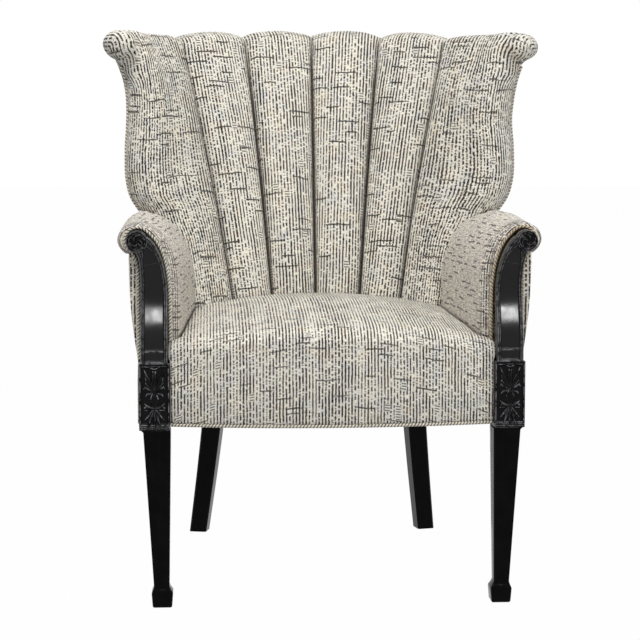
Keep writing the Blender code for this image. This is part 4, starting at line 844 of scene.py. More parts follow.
def wing_edge():
    """Edge that the right wing's lines follow: behind the arm, up the welt and out under the lobe."""
    path = []
    inside, centre, shoulder, top = ARM_INSIDE_X[-1], ARM_CENTRE_X[-1], ARM_SHOULDER_Z[-1], ARM_TOP_Z[-1]
    for z in np.linspace(ARM_BOTTOM_Z, EDGE_ARM_Z, 24):
        turn = math.asin(min(1.0, max(0.0, (z - shoulder) / (top - shoulder))))
        line = line_at_x(centre - (centre - inside) * math.cos(turn), z)
        path.append(back_point(line, z, -EDGE_FULL * hermite(SEAM_Z, CROWN, z)))
    for z in np.linspace(*EDGE_ROLL_Z, 24):
        half, deep = roll_size(z)
        at, along, behind = roll_frame(z, half)
        path.append(oval(at, along, behind, half, deep, math.atan2(deep * behind[0], half * along[0])))
    at, along, behind = lobe_frame()
    under, over = np.radians(np.linspace(-75, 0, 10)), np.radians(np.linspace(20, 120, 8))
    path += [oval(at, along, np.array((0.0, 0.0, 1.0)), LOBE_HALF, LOBE_TALL, turn) for turn in under]
    path += [oval(at, along, behind, LOBE_HALF, LOBE_DEEP, turn) for turn in over]
    return resample(path, 180)


def wing_seam():
    """Front of the outer seam and its way over the crest."""
    levels, turns = np.linspace(ARM_BOTTOM_Z, CREST_Z, 60), np.linspace(0, ROLL_END, 24)[1:]
    over = crest_point(2.0, turns, crest_pad(2.0, turns, SEAM_PAD))
    return np.concatenate((seam_point(2.0, levels), over))


def distance(points, path):
    """Distance from each point to the closest point of a path."""
    return np.linalg.norm(points[:, None] - path[None], axis=2).min(1)


def wing_rings():
    """Outlines of the right wing from bottom to crest and over it, with cloth coordinates."""
    last = wing_section(CREST_Z)
    outlines = [(np.concatenate(wing_section(z)[:4]), z) for z in np.linspace(ARM_BOTTOM_Z, CREST_Z, 72)]
    for angle in np.linspace(0, ROLL_END, 26)[1:]:
        outlines.append((wing_turn(angle, last), CREST_Z + angle * CREST_CLOTH))
    cloth = []
    for ring, along in outlines:
        run, flat = run_length(ring), run_length(ring * (1, WING_SLANT, 1))
        run = run - run[RIM_POINT]
        round_rim = np.clip(run, 0.0, run[LAST_EDGE_POINT])
        cloth.append(xyz(np.minimum(flat / flat[RIM_POINT], 1.0) + round_rim / WING_CLOTH, along))
    return np.array([ring for ring, _ in outlines]), np.array(cloth)


def wing_cloth(points, rings, ring_cloth, lobe, seed):
    """Cloth coordinates on the right wing: shares of its width across, and height along."""
    tree = KDTree(len(rings.reshape(-1, 3)))
    for k, point in enumerate(rings.reshape(-1, 3)):
        tree.insert(point, k)
    tree.balance()
    flat = ring_cloth.reshape(-1, 2)
    found = np.zeros((len(points), 2))
    for k, point in enumerate(points):
        near = tree.find_n(point, 4)
        weights = np.array([1 / (gap + 1e-5) for _, _, gap in near])
        found[k] = weights @ flat[[index for _, index, _ in near]] / weights.sum()
    inner, outer = distance(points, wing_seam()), distance(points, wing_edge())
    flared = inner / (inner + outer + 1e-6)
    close = 1 - smooth((np.linalg.norm(points - lobe, axis=1) - LOBE_NEAR) / LOBE_FADE)
    across = mix(found[:, 0], flared, close)
    return xyz((across + WING_CLOSER * across ** 2) * WING_CLOTH, found[:, 1], seed)


def ball(bm, at, along, behind, half, deep, tall):
    frame_at = Matrix((
        (along[0] * half, behind[0] * deep, 0, at[0]),
        (along[1] * half, behind[1] * deep, 0, at[1]),
        (0, 0, tall, at[2]), (0, 0, 0, 1),
    ))
    bmesh.ops.create_uvsphere(bm, u_segments=32, v_segments=20, radius=1.0, matrix=frame_at)


def relaxed(points, faces, rounds, freedom):
    """Points moved towards the mean of their neighbours, as far as their freedom lets them."""
    edges = np.array([(f[k], f[(k + 1) % len(f)]) for f in faces for k in range(len(f))])
    edges = np.unique(np.sort(edges, axis=1), axis=0)
    count = np.bincount(edges.ravel(), minlength=len(points))[:, None]
    points = points.copy()
    for _ in range(rounds):
        total = np.zeros_like(points)
        np.add.at(total, edges[:, 0], points[edges[:, 1]])
        np.add.at(total, edges[:, 1], points[edges[:, 0]])
        points += (total / count - points) * 0.5 * freedom[:, None]
    return points


def remeshed(mesh, size):
    """Points and faces of the union of a mesh's shells, evenly meshed."""
    holder = bpy.data.objects.new("remesh_source", mesh)
    scene.collection.objects.link(holder)
    step = holder.modifiers.new("even", "REMESH")
    step.mode = "VOXEL"
    step.voxel_size = size
    made = bpy.data.meshes.new_from_object(holder.evaluated_get(bpy.context.evaluated_depsgraph_get()))
    points = np.zeros(len(made.vertices) * 3)
    made.vertices.foreach_get("co", points)
    faces = [tuple(face.vertices) for face in made.polygons]
    bpy.data.objects.remove(holder)
    bpy.data.meshes.remove(made)
    return points.reshape(-1, 3), faces


def wing_body():
    """Outer channel, its rolled edge and its lobe in one stuffed piece, for the right side."""
    rings, cloth = wing_rings()
    mesh = bpy.data.meshes.new("wing_body")
    mesh.from_pydata(rings.reshape(-1, 3).tolist(), [], loft_faces(len(rings), rings.shape[1]))
    at, along, behind = lobe_frame()
    bm = bmesh.new()
    bm.from_mesh(mesh)
    root = crest_point(LOBE_ROOT_LINE, 0.0, 0.0)
    for share in np.linspace(0, 1, 7):
        half, deep, tall = mix(np.array(LOBE_ROOT), np.array((LOBE_HALF, LOBE_DEEP, LOBE_TALL)), share)
        tall = tall + LOBE_BULGE * math.sin(math.pi * share)
        ball(bm, mix(root, at, share), along, behind, half, deep, tall)
    bmesh.ops.recalc_face_normals(bm, faces=bm.faces)
    bm.to_mesh(mesh)
    bm.free()
    points, faces = remeshed(mesh, WING_VOXEL)
    freedom = ramp(distance(points, wing_seam()), SEAM_HELD, SEAM_FREE)
    points = relaxed(points, faces, WING_ROUNDS, freedom)
    return points, faces, rings, cloth, at


def wing_reach(label, z):
    """How much further out the rim of this wing stands than the frame's own line."""
    return hermite(REACH_Z, WING_REACH[label], z)


def flared_wing(label):
    """Points of one wing, its rim drawn outward or in to where the photo shows it."""
    points, _, _, _, lobe = WING
    out = wing_reach(label, points[:, 2])
    inner_x = seam_point(FLARE_LINE, np.minimum(points[:, 2], CREST_Z))[:, 0]
    points = points + (smooth((points[:, 0] - inner_x) / FLARE_WIDTH) * out)[:, None] * RIM_WAY
    if label == "left":
        near = np.exp(-(np.linalg.norm((points - lobe) * (1, 1, 0), axis=1) / LIFT_NEAR) ** 2)
        points[:, 2] += LOBE_LIFT * near * ramp(points[:, 2], *LIFT_Z)
    return points


def wing(label, number, seed):
    points, faces, rings, ring_cloth, lobe = WING
    add_piece(
        f"wing_{label}", flared_wing(label), FABRIC,
        wing_cloth(points, rings, ring_cloth, lobe, seed),
        (f"back_channel_{number}", f"wing_roll_{label}"), 0.9, label == "left", faces,
    )


for number in range(2, 6):
    inner_channel(number, number - 4.0)
WING = wing_body()
wing("left", 1, 21.0)
wing("right", 6, 26.0)


# Seat

def seat_front(share):
    return SEAT_FRONT_DEPTH - SEAT_BOW * (1 - share * share)


def seat_back_depth(x):
    z = SEAM_Z[1]
    line = line_at_x(min(abs(x), ARM_INSIDE_X[-1]), z)
    return seam_point(line, z)[1] - FRONT_Y - CROWN[1] - SEAT_BACK_CLEAR


def seat():
    """Crowned seat with a rolled front edge and a skirt down the front rail."""
    rings, cloths = [], []
    climb = np.linspace(0, 1, 30)[:-1]
    runs = np.linspace(0, 1, 62) ** 1.6
    for share in np.sin(math.pi * (np.linspace(0, 1, 101) - 0.5)):
        face, rear = seat_front(share), seat_back_depth(share * ARM_INSIDE_X[-1]) + SEAT_BACK_TUCK
        depth = mix(face, rear, runs)
        short = np.maximum(0.0, 1 - (depth - face) / SEAT_ROLL)
        drop = (1 - np.sqrt(1 - short ** 2)) * SEAT_ROLL * SEAT_ROLL_SHARE
        full = hermite((0, 0.5, 1), SEAT_CROWN, runs) * max(0.0, 1 - share * share) ** 0.8
        z = mix(SEAT_EDGE_Z[0], SEAT_EDGE_Z[1], runs) + full - drop
        ahead = smooth((POST_BACK_DEPTH + 0.001 - depth) / 0.012)
        half = mix(np.minimum(SEAT_HALF, arm_inside(depth) - SEAT_ARM_CLEAR), SEAT_POST_HALF, ahead)
        skirt_z = mix(SEAT_SKIRT_BOTTOM_Z, z[0], climb)
        skirt_half = mix(SEAT_HALF, SEAT_POST_HALF, smooth((skirt_z - BLOCK_TOP_Z - 0.0005) / 0.010))
        skirt_d = face - SEAT_SKIRT_SWELL * np.sin(math.pi * climb ** 0.8)
        skirt = xyz(share * skirt_half, back(skirt_d), skirt_z)
        shown = np.concatenate((skirt, xyz(share * half, back(depth), z)))
        under_d = np.linspace(rear, face + SEAT_SKIRT_THICK, 6)
        under_half = np.minimum(SEAT_HALF, arm_inside(under_d) - SEAT_ARM_CLEAR)
        under = xyz(share * under_half, back(under_d), SEAT_PAD_BOTTOM_Z)
        foot = np.array([[share * SEAT_HALF, back(face + SEAT_SKIRT_THICK), SEAT_SKIRT_BOTTOM_Z]])
        rings.append(np.concatenate((shown, under, foot)))
        sag = SEAT_WEFT_SAG * (shown[:, 0] / SEAT_HALF) ** 2
        cloth = xyz(shown[:, 0] * SEAT_CLOSER, (run_length(shown) + sag) * SEAT_CLOSER, 31.0)
        cloths.append(np.concatenate((cloth, np.repeat(cloth[-1:], 7, 0))))
    add_piece("seat", rings, FABRIC, cloths, ("seat_pad",), 0.9)


seat()


# Arms

def arm_outline(share):
    """Outline of the arm pad: up the inside, over the roll to the lip, and back along the frame."""
    inside = hermite(ARM_SWELL_STATIONS, ARM_INSIDE_X, share)
    centre, outside, top, shoulder = (
        hermite(ARM_STATIONS, values, share)
        for values in (ARM_CENTRE_X, ARM_OUTSIDE_X, ARM_TOP_Z, ARM_SHOULDER_Z)
    )
    shown = [xyz(inside, np.linspace(ARM_BOTTOM_Z, shoulder, 16)[:-1])]
    up, over = np.linspace(0, math.pi / 2, 30), np.linspace(math.pi / 2, 0, 18)[1:]
    for turn, wide, base, tall in (
        (up, inside - centre, shoulder, top - shoulder),
        (over, outside - centre, SCROLL_Z, top - SCROLL_Z),
        (np.linspace(0, ARM_LIP, 12)[1:], outside - centre, SCROLL_Z, ARM_ROLL_DROP),
    ):
        shown.append(xyz(centre + wide * np.cos(turn), base + tall * np.sin(turn)))
    rail_in, rail_out = ARM_RAIL_X - ARM_RAIL_WIDTH / 2 - GAP, ARM_RAIL_X + ARM_RAIL_WIDTH / 2 + GAP
    lining = [(rail_out, mix(ARM_UNDER_Z, ARM_RAIL_TOP_Z, k / 4)) for k in range(4)]
    lining += [(mix(rail_out, rail_in, k / 4), ARM_RAIL_TOP_Z) for k in range(5)]
    for k in range(1, 7):
        slant = mix(rail_in, inside + ARM_LINING, float(smooth(k / 6)))
        lining.append((slant, mix(ARM_RAIL_TOP_Z, ARM_BOTTOM_Z, k / 6)))
    return np.concatenate(shown), np.array(lining)


def arm_end(x, z):
    """Depth at which the arm's cover meets the wing, or runs out beside it."""
    level = max(z, SEAM_Z[1])
    edge = seam_point(WING_PAD_END, level)
    on_rail = z >= ARM_RAIL_TOP_Z and x >= ARM_RAIL_X - ARM_RAIL_WIDTH / 4
    if on_rail or x >= ARM_RAIL_X + ARM_RAIL_WIDTH / 2:
        return ARM_ROLL_END
    if x >= edge[0]:
        return edge[1] - FRONT_Y - float(hermite(SEAM_Z, CROWN, level)) + ARM_TUCK
    return seam_point(line_at_x(x, level), level)[1] - FRONT_Y + ARM_TUCK


def arm(label, seed):
    """Inside arm and outward roll, stuffed, its front edge turned in to the show-wood post."""
    start = POST_BACK_DEPTH + GAP
    ends = np.array([arm_end(x, z) for x, z in np.concatenate(arm_outline(1.0))])
    shares = np.concatenate((np.zeros(ARM_TURN_ROWS), np.linspace(0, 1, 44)[1:]))
    rings, cloths, travel = [], [], np.zeros(len(ends))
    for k, share in enumerate(shares):
        shown, lining = arm_outline(share)
        depth = mix(start + ARM_TURN_DEEP, ends, share)
        if k < ARM_TURN_ROWS:
            tuck = math.pi / 2 * (1 - k / (ARM_TURN_ROWS - 1))
            ahead = unit(np.gradient(shown, axis=0))
            shown = shown + xyz(ahead[:, 1], -ahead[:, 0]) * ARM_TURN_IN * (1 - math.cos(tuck))
            depth = start + ARM_TURN_DEEP * (1 - math.sin(tuck))
        flat = np.concatenate((shown, lining))
        rings.append(xyz(flat[:, 0], back(depth), flat[:, 1]))
        if k:
            travel = travel + np.linalg.norm(rings[k] - rings[k - 1], axis=1)
        along = run_length(shown)
        along = np.concatenate((along, np.full(len(lining), along[-1])))
        cloths.append(xyz(travel, along, seed))
    rolled = ends == ARM_ROLL_END
    last, last_cloth = rings[-1], cloths[-1]
    for turn in ARM_ROLL_CAP_TURNS:
        ring, cloth = last.copy(), last_cloth.copy()
        ring[rolled] = mix(ARM_ROLL_CENTRE, ring[rolled], (math.cos(turn), 1, math.cos(turn)))
        ring[rolled, 1] += ARM_ROLL_CAP * math.sin(turn)
        cloth[rolled, 0] += ARM_ROLL_CAP * turn
        rings.append(ring)
        cloths.append(cloth)
    points, faces, cloths = welded(rings, loft_faces(len(rings), len(ends)), cloths)
    add_side("arm", label, points, FABRIC, "arm_pad", cloths, 0.9, faces)


arm("left", 41.0)
arm("right", 46.0)


# Outside covers

def panel(name, near, far, seed, replaces, mirror=False, straight=0):
    """Cover panel from its near and far faces, as a closed thin shell, its weave straight along one row."""
    run_u, run_v = run_length(far, 0), run_length(far, 1)
    cloth = xyz(run_u - run_u[[straight]], run_v, seed)
    rings, cloth = np.concatenate((near, far[:, ::-1]), 1), np.concatenate((cloth, cloth[:, ::-1]), 1)
    add_piece(name, rings, FABRIC, cloth, replaces, 0.95, mirror)


def over_rail(lines, levels, depth, last):
    """Outside cover up the frame and over the back of the crest rail, along each of the lines."""
    lines, turns = lines[:, None], np.radians(np.linspace(180, last, 8))
    wall = back_point(lines, levels, OUTSIDE_DEPTH + depth, FRAME_SEAMS)
    return wall, crest_point(lines, turns, RAIL_ROUND + depth, FRAME_SEAMS)


def back_edge(share, levels, depth):
    """Outside back: straight along the back rail, bowed with the channels above."""
    low = xyz(share * BACK_RAIL_HALF, back(BACK_RAIL_DEPTH) + depth, levels)
    level = np.maximum(levels, SEAM_Z[1])
    high = back_point(share * OUTSIDE_BACK_LINE, level, OUTSIDE_DEPTH + depth, FRAME_SEAMS)
    high[:, 2] += levels - level
    return mix(low, high, ramp(levels, ARM_BOTTOM_Z, SCROLL_Z)[:, None])


def outside_back():
    levels, shares = np.linspace(0.300, OUTSIDE_TOP_Z, 60), np.linspace(-1, 1, 61)
    grids = []
    for depth in (0.0, PANEL_THICK):
        wall = [back_edge(share, levels, depth) for share in shares]
        over = over_rail(shares * OUTSIDE_BACK_LINE, levels[:1], depth, BACK_OVER)[1]
        grids.append(np.concatenate((wall, over), 1))
    panel("outside_back_cover", *grids, 51.0, ("outside_back",), straight=30)


def outside_wing(label, seed):
    """Outside of the wing, drawn round the wing post to the roll."""
    lines, levels = np.linspace(*OUT_WING_LINES, 24), np.linspace(OUT_WING_BOTTOM_Z, OUTSIDE_TOP_Z, 40)
    steps = np.linspace(0, 1, 8)[1:, None, None]
    grids = []
    for depth in (0.0, PANEL_THICK):
        wall, over = over_rail(lines, levels, depth, WING_OVER)
        grid = np.concatenate((wall, over), 1)
        tucked = []
        for z in wall[-1, :, 2]:
            half, deep = roll_size(z)
            at, along, behind = roll_frame(z, half)
            out = float(wing_reach(label, z)) * RIM_WAY
            tucked.append(at + behind * (deep - OUT_WING_TUCK + depth) - along * half * 0.1 + out)
        tucked = np.concatenate((tucked, tucked[-1] + (over[-1] - over[-1, :1])))
        swell = OUT_WING_SWELL * np.sin(math.pi * steps)
        aside = unit(grid[-1] - grid[-2]) * 0.4 + unit(grid[-1] * (1, 0, 0))
        grids.append(np.concatenate((grid, mix(grid[-1], tucked, steps) + swell * aside)))
    panel(f"outside_wing_cover_{label}", *grids, seed, (f"outside_wing_{label}",), label == "left")


def outside_arm(label, seed):
    """Outside arm, turned in at the front to the welt beside the post and behind to the outside back."""
    depths = np.linspace(OUT_DEPTH[0], OUT_DEPTH[-1], 60)[:, None]
    tops = mix(OUT_TOP_Z, OUT_REAR_TOP_Z, ramp(depths, *OUT_RISE_DEPTHS))
    levels = mix(OUT_BOTTOM_Z, tops, np.linspace(0, 1, 46))
    low, beside_block = rail_x(depths) + OUT_RAIL_COVER, BLOCK_X + BLOCK_WIDTH / 2 + OUT_CLEAR
    low = np.where(depths < BLOCK_WIDTH + 0.002, np.maximum(low, beside_block), low)
    waist = hermite(OUT_DEPTH, OUT_WAIST_X, depths) - PANEL_THICK
    high = hermite(OUT_DEPTH, OUT_TOP_X, depths) - PANEL_THICK
    climb = np.maximum(0.0, levels - ARM_BOTTOM_Z) / (OUT_TOP_Z - ARM_BOTTOM_Z)
    x = mix(mix(low, waist, ramp(levels, RAIL_TOP_Z, ARM_BOTTOM_Z)), high, climb)
    x = x + OUT_SWELL * np.sin(math.pi * np.minimum(climb, 1.0))
    front_z, outer, front = levels[0], x[0] + PANEL_THICK, back(POST_BACK_DEPTH - 0.0012)
    edge = np.where(front_z > BLOCK_TOP_Z, POST_X + POST_WIDTH / 2 + OUT_CLEAR, outer - 0.001)
    near, far = [], []
    for share in (0.0, 0.25, 0.5, 0.75, 0.9, 0.97):
        turn = OUT_TURN * (1 - math.sqrt(1 - max(0.0, share - 0.5) ** 2 / 0.25))
        at = mix(edge, outer, share)
        far.append(xyz(at, front + turn, front_z))
        near.append(xyz(np.minimum(at, x[0]), front + turn + 0.0018, front_z))
    grids = []
    for turned, out, depth in ((near, 0.0, 0.0005), (far, PANEL_THICK, PANEL_THICK - 0.0005)):
        wall = xyz(x + out, back(depths) + 0.001, levels)
        seam = back_edge(1.0, levels[-1], depth)[None]
        grids.append(np.concatenate((turned, wall, mix(wall[-1:], seam, 0.5), seam)))
    panel(f"outside_arm_cover_{label}", *grids, seed, (f"outside_arm_{label}",), label == "left")


outside_back()
for label, seed in (("left", 61.0), ("right", 66.0)):
    outside_wing(label, seed)
    outside_arm(label, seed + 2)


def dust_cover():
    """Black cloth tacked under the seat frame, sagging a little."""
    depths, across = np.linspace(*DUST_DEPTHS, 24)[:, None], np.linspace(-1, 1, 30)
    along = (depths - depths[0]) / (depths[-1] - depths[0])
    sag = DUST_SAG * np.sin(math.pi * along) * (1 - across ** 2)
    grid = xyz((rail_x(depths) - DUST_INSET) * across, back(depths), DUST_Z - sag)
    made = add_piece(
        "dust_cloth", grid, DUST, None, ("dust_cover",), faces=loft_faces(24, 30, False),
    )


dust_cover()


# Welts: radius, pitch of the winding and its hand

ARM_CORD = (0.0027, 0.0058, 1)
WING_CORD = (0.0028, 0.0064, -1)
SEAT_CORD = (0.0032, 0.0055, 1)
CORD_STEP = 0.0009
ARM_CORD_ROOM = 0.0037
ARM_CORD_Z = (0.432, 0.597)
ARM_CORD_END_Z = 0.4065
ARM_CORD_DEPTH = POST_BACK_DEPTH - 0.0028
WING_CORD_Z = (0.636, 0.900)
WING_CORD_OUT = 0.0004
SEAT_CORD_HALF = 0.2638


def welt(name, path, cord, look, seed, replaces, mirror=False):
    """Covered cord: two strands of bias-cut cloth winding round it."""
    radius, pitch, twist = cord
    length = run_length(np.asarray(path, float))[-1]
    points = resample(path, max(24, int(length / CORD_STEP)))
    ahead = unit(np.gradient(points, axis=0))
    last = np.array((0.0, 1.0, 0.0)) if abs(ahead[0][1]) < 0.9 else np.array((1.0, 0.0, 0.0))
    normals = []
    for direction in ahead:
        last = unit(last - direction * last.dot(direction))
        normals.append(last)
    other = np.cross(ahead, normals)
    turn = np.linspace(0, 2 * math.pi, 16, endpoint=False)
    run = run_length(points)[:, None]
    phase = 2 * math.pi * run / pitch + twist * 2 * turn
    thick = radius * (0.93 + 0.07 * np.cos(phase))
    spokes = np.array(normals)[:, None] * np.cos(turn)[:, None] + other[:, None] * np.sin(turn)[:, None]
    rings = points[:, None] + thick[..., None] * spokes
    add_piece(name, rings, look, xyz(np.cos(phase), run, seed), replaces, None, mirror)


def post_path(count):
    """Middle, half width and level direction along the right arm post."""
    at = np.linspace(0, len(POST_PATH_Z) - 1, count)
    index = np.arange(len(POST_PATH_Z))
    centre = xyz(POST_X + hermite(index, POST_PATH_OUT, at), hermite(index, POST_PATH_Z, at))
    half = hermite(index, POST_PATH_HALF, at) * POST_WIDTH / 2
    ahead = unit(np.gradient(centre, axis=0))
    return centre, half, xyz(ahead[:, 1], -ahead[:, 0])


def arm_welt(label, look, seed):
    """Cord round the show-wood facing: up its inside, over the scroll and down its outside."""
    centre, half, level = post_path(60)
    inner = centre - level * (half + ARM_CORD_ROOM)[:, None]
    inner = inner[(centre[:, 1] > ARM_CORD_Z[0]) & (centre[:, 1] < ARM_CORD_Z[1])]
    turns, reach = np.radians(np.linspace(132, -76, 40)), SCROLL_RADIUS + ARM_CORD_ROOM
    head = xyz(SCROLL_X + reach * np.cos(turns), SCROLL_Z + reach * np.sin(turns))
    inner = inner[inner[:, 1] < head[0, 1] - 0.004]
    down = np.linspace(SCROLL_Z - 2 * SCROLL_RADIUS, ARM_CORD_END_Z, 24)
    outer = xyz(POST_X + POST_WIDTH / 2 + ARM_CORD_ROOM, down)
    flat = eased(np.concatenate((inner, head, outer)), 6)
    path = xyz(flat[:, 0], back(ARM_CORD_DEPTH), flat[:, 1])
    welt(f"arm_cord_{label}", path, ARM_CORD, look, seed, (f"arm_welt_{label}",), label == "left")


def wing_welt(label, seed):
    """Cord along the outermost line of the wing, below its lobe."""
    points, path = flared_wing(label), []
    for z in np.linspace(*WING_CORD_Z, 68):
        level = points[np.abs(points[:, 2] - z) < 0.0035]
        point = level[level[:, 0].argmax()]
        path.append((point[0] + WING_CORD_OUT, point[1], z))
    nodes = (f"wing_welt_{label}",)
    welt(f"wing_cord_{label}", eased(path, 10), WING_CORD, WELT, seed, nodes, label == "left")


def seat_welt():
    """Cord along the lower edge of the skirt."""
    shares = np.linspace(-1, 1, 80)
    path = xyz(shares * SEAT_CORD_HALF, back(seat_front(shares) + 0.0022), SEAT_SKIRT_BOTTOM_Z - 0.0030)
    welt("seat_cord", path, SEAT_CORD, WELT, 71.0, ("seat_welt",))


seat_welt()
for label, look, seed in (("left", WELT, 73.0), ("right", TAN_WELT, 76.0)):
    arm_welt(label, look, seed)
    wing_welt(label, seed + 1)


# Show-wood

def ridge(off, wide, tall):
    """Height of a rounded ridge at a distance from its middle."""
    return tall * np.sqrt(np.maximum(0.0, 1 - (off / wide) ** 2))


# Leg block: its sunk panel, and two beads below it by height and half width
PANEL_BOTTOM = 0.0068
PANEL_TOP = 0.0022
PANEL_SUNK = 0.0034
PANEL_SLOPE = 0.0018
BLOCK_BEADS = ((0.0028, 0.0010), (0.0058, 0.0009))
BLOCK_BEAD = 0.0009
BLOCK_BEAD_END = 0.0080
CORNER_SUNK = 0.0014

# Arm post: beads by distance from its edge, half width and height; its sunk panel, ledge and sill
POST_BEADS = ((0.0016, 0.0015, 0.0014), (0.0044, 0.0010, 0.0011))
FIELD_EDGE = 0.0060
FIELD_SUNK = 0.0024
FIELD_SLOPE = 0.0010
FIELD_BOTTOM_Z = 0.4068
LEDGE_Z = 0.4235
LEDGE_HALF = 0.0012
SPANDREL_Z = 0.5990
SPANDREL_TALL = 0.024
SILL_Z = 0.5645
SILL_TALL = 0.0074
SILL_SUNK = 0.0040
POST_ROUNDING = 0.0011
POST_REAR = ((1, 0.5), (1, 0.97), (0.97, 1), (-0.97, 1), (-1, 0.97), (-1, 0.5))

# Scroll: rim, quirk and button by radius, half width and height; curled leaves between
SCROLL_HOOPS = ((0.0160, 0.0016, 0.0024), (0.0131, 0.0007, 0.0016), (0.0, 0.0026, 0.0030))
LEAVES = 3
LEAF_CURL = 420.0
LEAF_TALL = 0.0030
LEAF_START = 0.0022
LEAF_LENGTH = 0.0100

# Husk chain on the leg block: half of it, in millimetres from the block's middle and bottom.
# Each stroke has its points, its half width at each of them, and its height.
HUSKS = (
    (((1, 63), (9, 78), (16, 99)), (2.0, 4.2, 1.0), 2.6),
    (((0, 64), (0, 80), (2, 96)), (2.4, 4.6, 1.6), 3.4),
    (((4, 66), (13, 77)), (1.5, 2.4), 2.2),
    (((13, 82), (14, 86)), (1.8, 1.2), 2.4),
    (((1, 64), (9, 67), (15, 71), (17, 68)), (1.6, 2.0, 1.8, 0.8), 2.6),
    (((3, 61), (12, 59), (14, 56)), (1.2, 1.8, 0.8), 1.8),
    (((0, 62), (0, 48), (0, 40)), (1.6, 6.6, 4.2), 3.0),
    (((2, 63), (6, 52)), (1.2, 1.8), 3.2),
    (((0, 37), (6, 37), (12, 40), (16, 44)), (2.6, 2.6, 2.2, 0.8), 3.2),
    (((12, 40), (16, 37)), (2.0, 1.6), 2.8),
    (((1, 35), (7, 27), (15, 18)), (1.8, 2.6, 1.0), 2.8),
    (((1, 34), (5, 22), (9, 9)), (1.6, 2.8, 1.2), 2.9),
    (((0, 34), (0, 20), (0, 8)), (1.6, 2.6, 1.4), 2.5),
    (((9, 33), (16, 33)), (1.3, 0.7), 1.6),
    (((0, 100), (8, 103), (19, 104)), (1.2, 1.5, 1.5), 2.4),
)


def husk_relief(x, z):
    """Height of the husk carving: each stroke and its mirror image a tapered ridge along its points."""
    height = np.zeros_like(x)
    for points, wide, tall in HUSKS:
        points, wide = np.array(points) / 1000, np.array(wide) / 1000
        for ends in (points, points * (-1, 1)):
            for k in range(len(ends) - 1):
                a, span = ends[k], ends[k + 1] - ends[k]
                t = np.clip(((x - a[0]) * span[0] + (z - a[1]) * span[1]) / (span @ span), 0, 1)
                gap = np.hypot(x - a[0] - t * span[0], z - a[1] - t * span[1])
                height = np.maximum(height, ridge(gap, mix(wide[k], wide[k + 1], t), tall / 1000))
    return height


def block_face(x, z):
    """Depth of the carved front of a leg block; x from its middle, z from its bottom."""
    side, tall = BLOCK_WIDTH / 2 - np.abs(x), BLOCK_TOP_Z - BLOCK_BOTTOM_Z
    edge = np.minimum(side, np.minimum(z - PANEL_BOTTOM, tall - PANEL_TOP - z))
    sunk = PANEL_SUNK * smooth((edge - 0.0022) / PANEL_SLOPE)
    carved = husk_relief(x, z) * smooth((edge - 0.0008) / PANEL_SLOPE)
    beads = sum(np.exp(-((z - at) / wide) ** 2) for at, wide in BLOCK_BEADS)
    beads = np.where(z < BLOCK_BEAD_END, BLOCK_BEAD * beads - BLOCK_BEAD, 0.0)
    return sunk - carved - beads + CORNER_SUNK * (1 - smooth(side / BLOCK_CORNER))


def carved_block(label):
    """Leg block with its husk chain."""
    half = BLOCK_WIDTH / 2
    z = np.linspace(BLOCK_BOTTOM_Z, BLOCK_TOP_Z, 210)[:, None]
    gx, gz = np.meshgrid(np.linspace(-half, half, 101), z - BLOCK_BOTTOM_Z)
    front = xyz(BLOCK_X + gx, back(block_face(gx, gz)), z)
    corners = np.array((
        (half, 0.004), (half, half), (half, 2 * half - BLOCK_CORNER), (half - BLOCK_CORNER, 2 * half),
    ))
    ring = np.concatenate((corners, corners[::-1] * (-1, 1)))
    rear = xyz(BLOCK_X + ring[:, 0], back(ring[:, 1]), z)
    rings = np.concatenate((front, rear), 1)
    add_side("carved_block", label, rings, CARVED, "front_leg")


def rounded_square(x, y, z, width, radius):
    """Level outline of a square bar with rounded corners."""
    half, points = width / 2 - radius, []
    for k, (sx, sy) in enumerate(((1, 1), (-1, 1), (-1, -1), (1, -1))):
        turn = np.radians(np.linspace(90 * k, 90 * k + 90, 5))
        points.append(xyz(x + sx * half + radius * np.cos(turn), y + sy * half + radius * np.sin(turn), z))
    return np.concatenate(points)


def front_leg(label):
    """Tapered leg on its spade foot."""
    heights, widths, insets = np.array(LEG_LEVELS).T
    rings = []
    for z in np.unique(np.concatenate((heights, np.linspace(0.042, 0.285, 24)))):
        width, inset = np.interp(z, heights, widths), np.interp(z, heights, insets)
        rings.append(rounded_square(BLOCK_X - inset, back(BLOCK_WIDTH / 2), z, width, LEG_CORNER))
    add_side("tapered_leg", label, rings, WOOD, "front_leg")


def post_relief(x, z, half):
    """Depth of the facing's mouldings: twin beads at the edges, a sunk panel, a sill under its spandrel."""
    edge = half - np.abs(x)
    beads = sum(ridge(edge - at, wide, tall) for at, wide, tall in POST_BEADS)
    field = (half - FIELD_EDGE) * np.clip((SPANDREL_Z - z) / SPANDREL_TALL, 0.0, 1.0) ** 0.70
    inside = np.minimum(field - np.abs(x), np.abs(z - LEDGE_Z) - LEDGE_HALF)
    inside = smooth(np.minimum(inside, z - FIELD_BOTTOM_Z) / FIELD_SLOPE)
    sill = SILL_SUNK * np.clip((z - SILL_Z) / SILL_TALL, 0.0, 1.0)
    rounding = CORNER_SUNK * (1 - smooth(edge / POST_ROUNDING))
    return (FIELD_SUNK + sill) * inside - beads + rounding


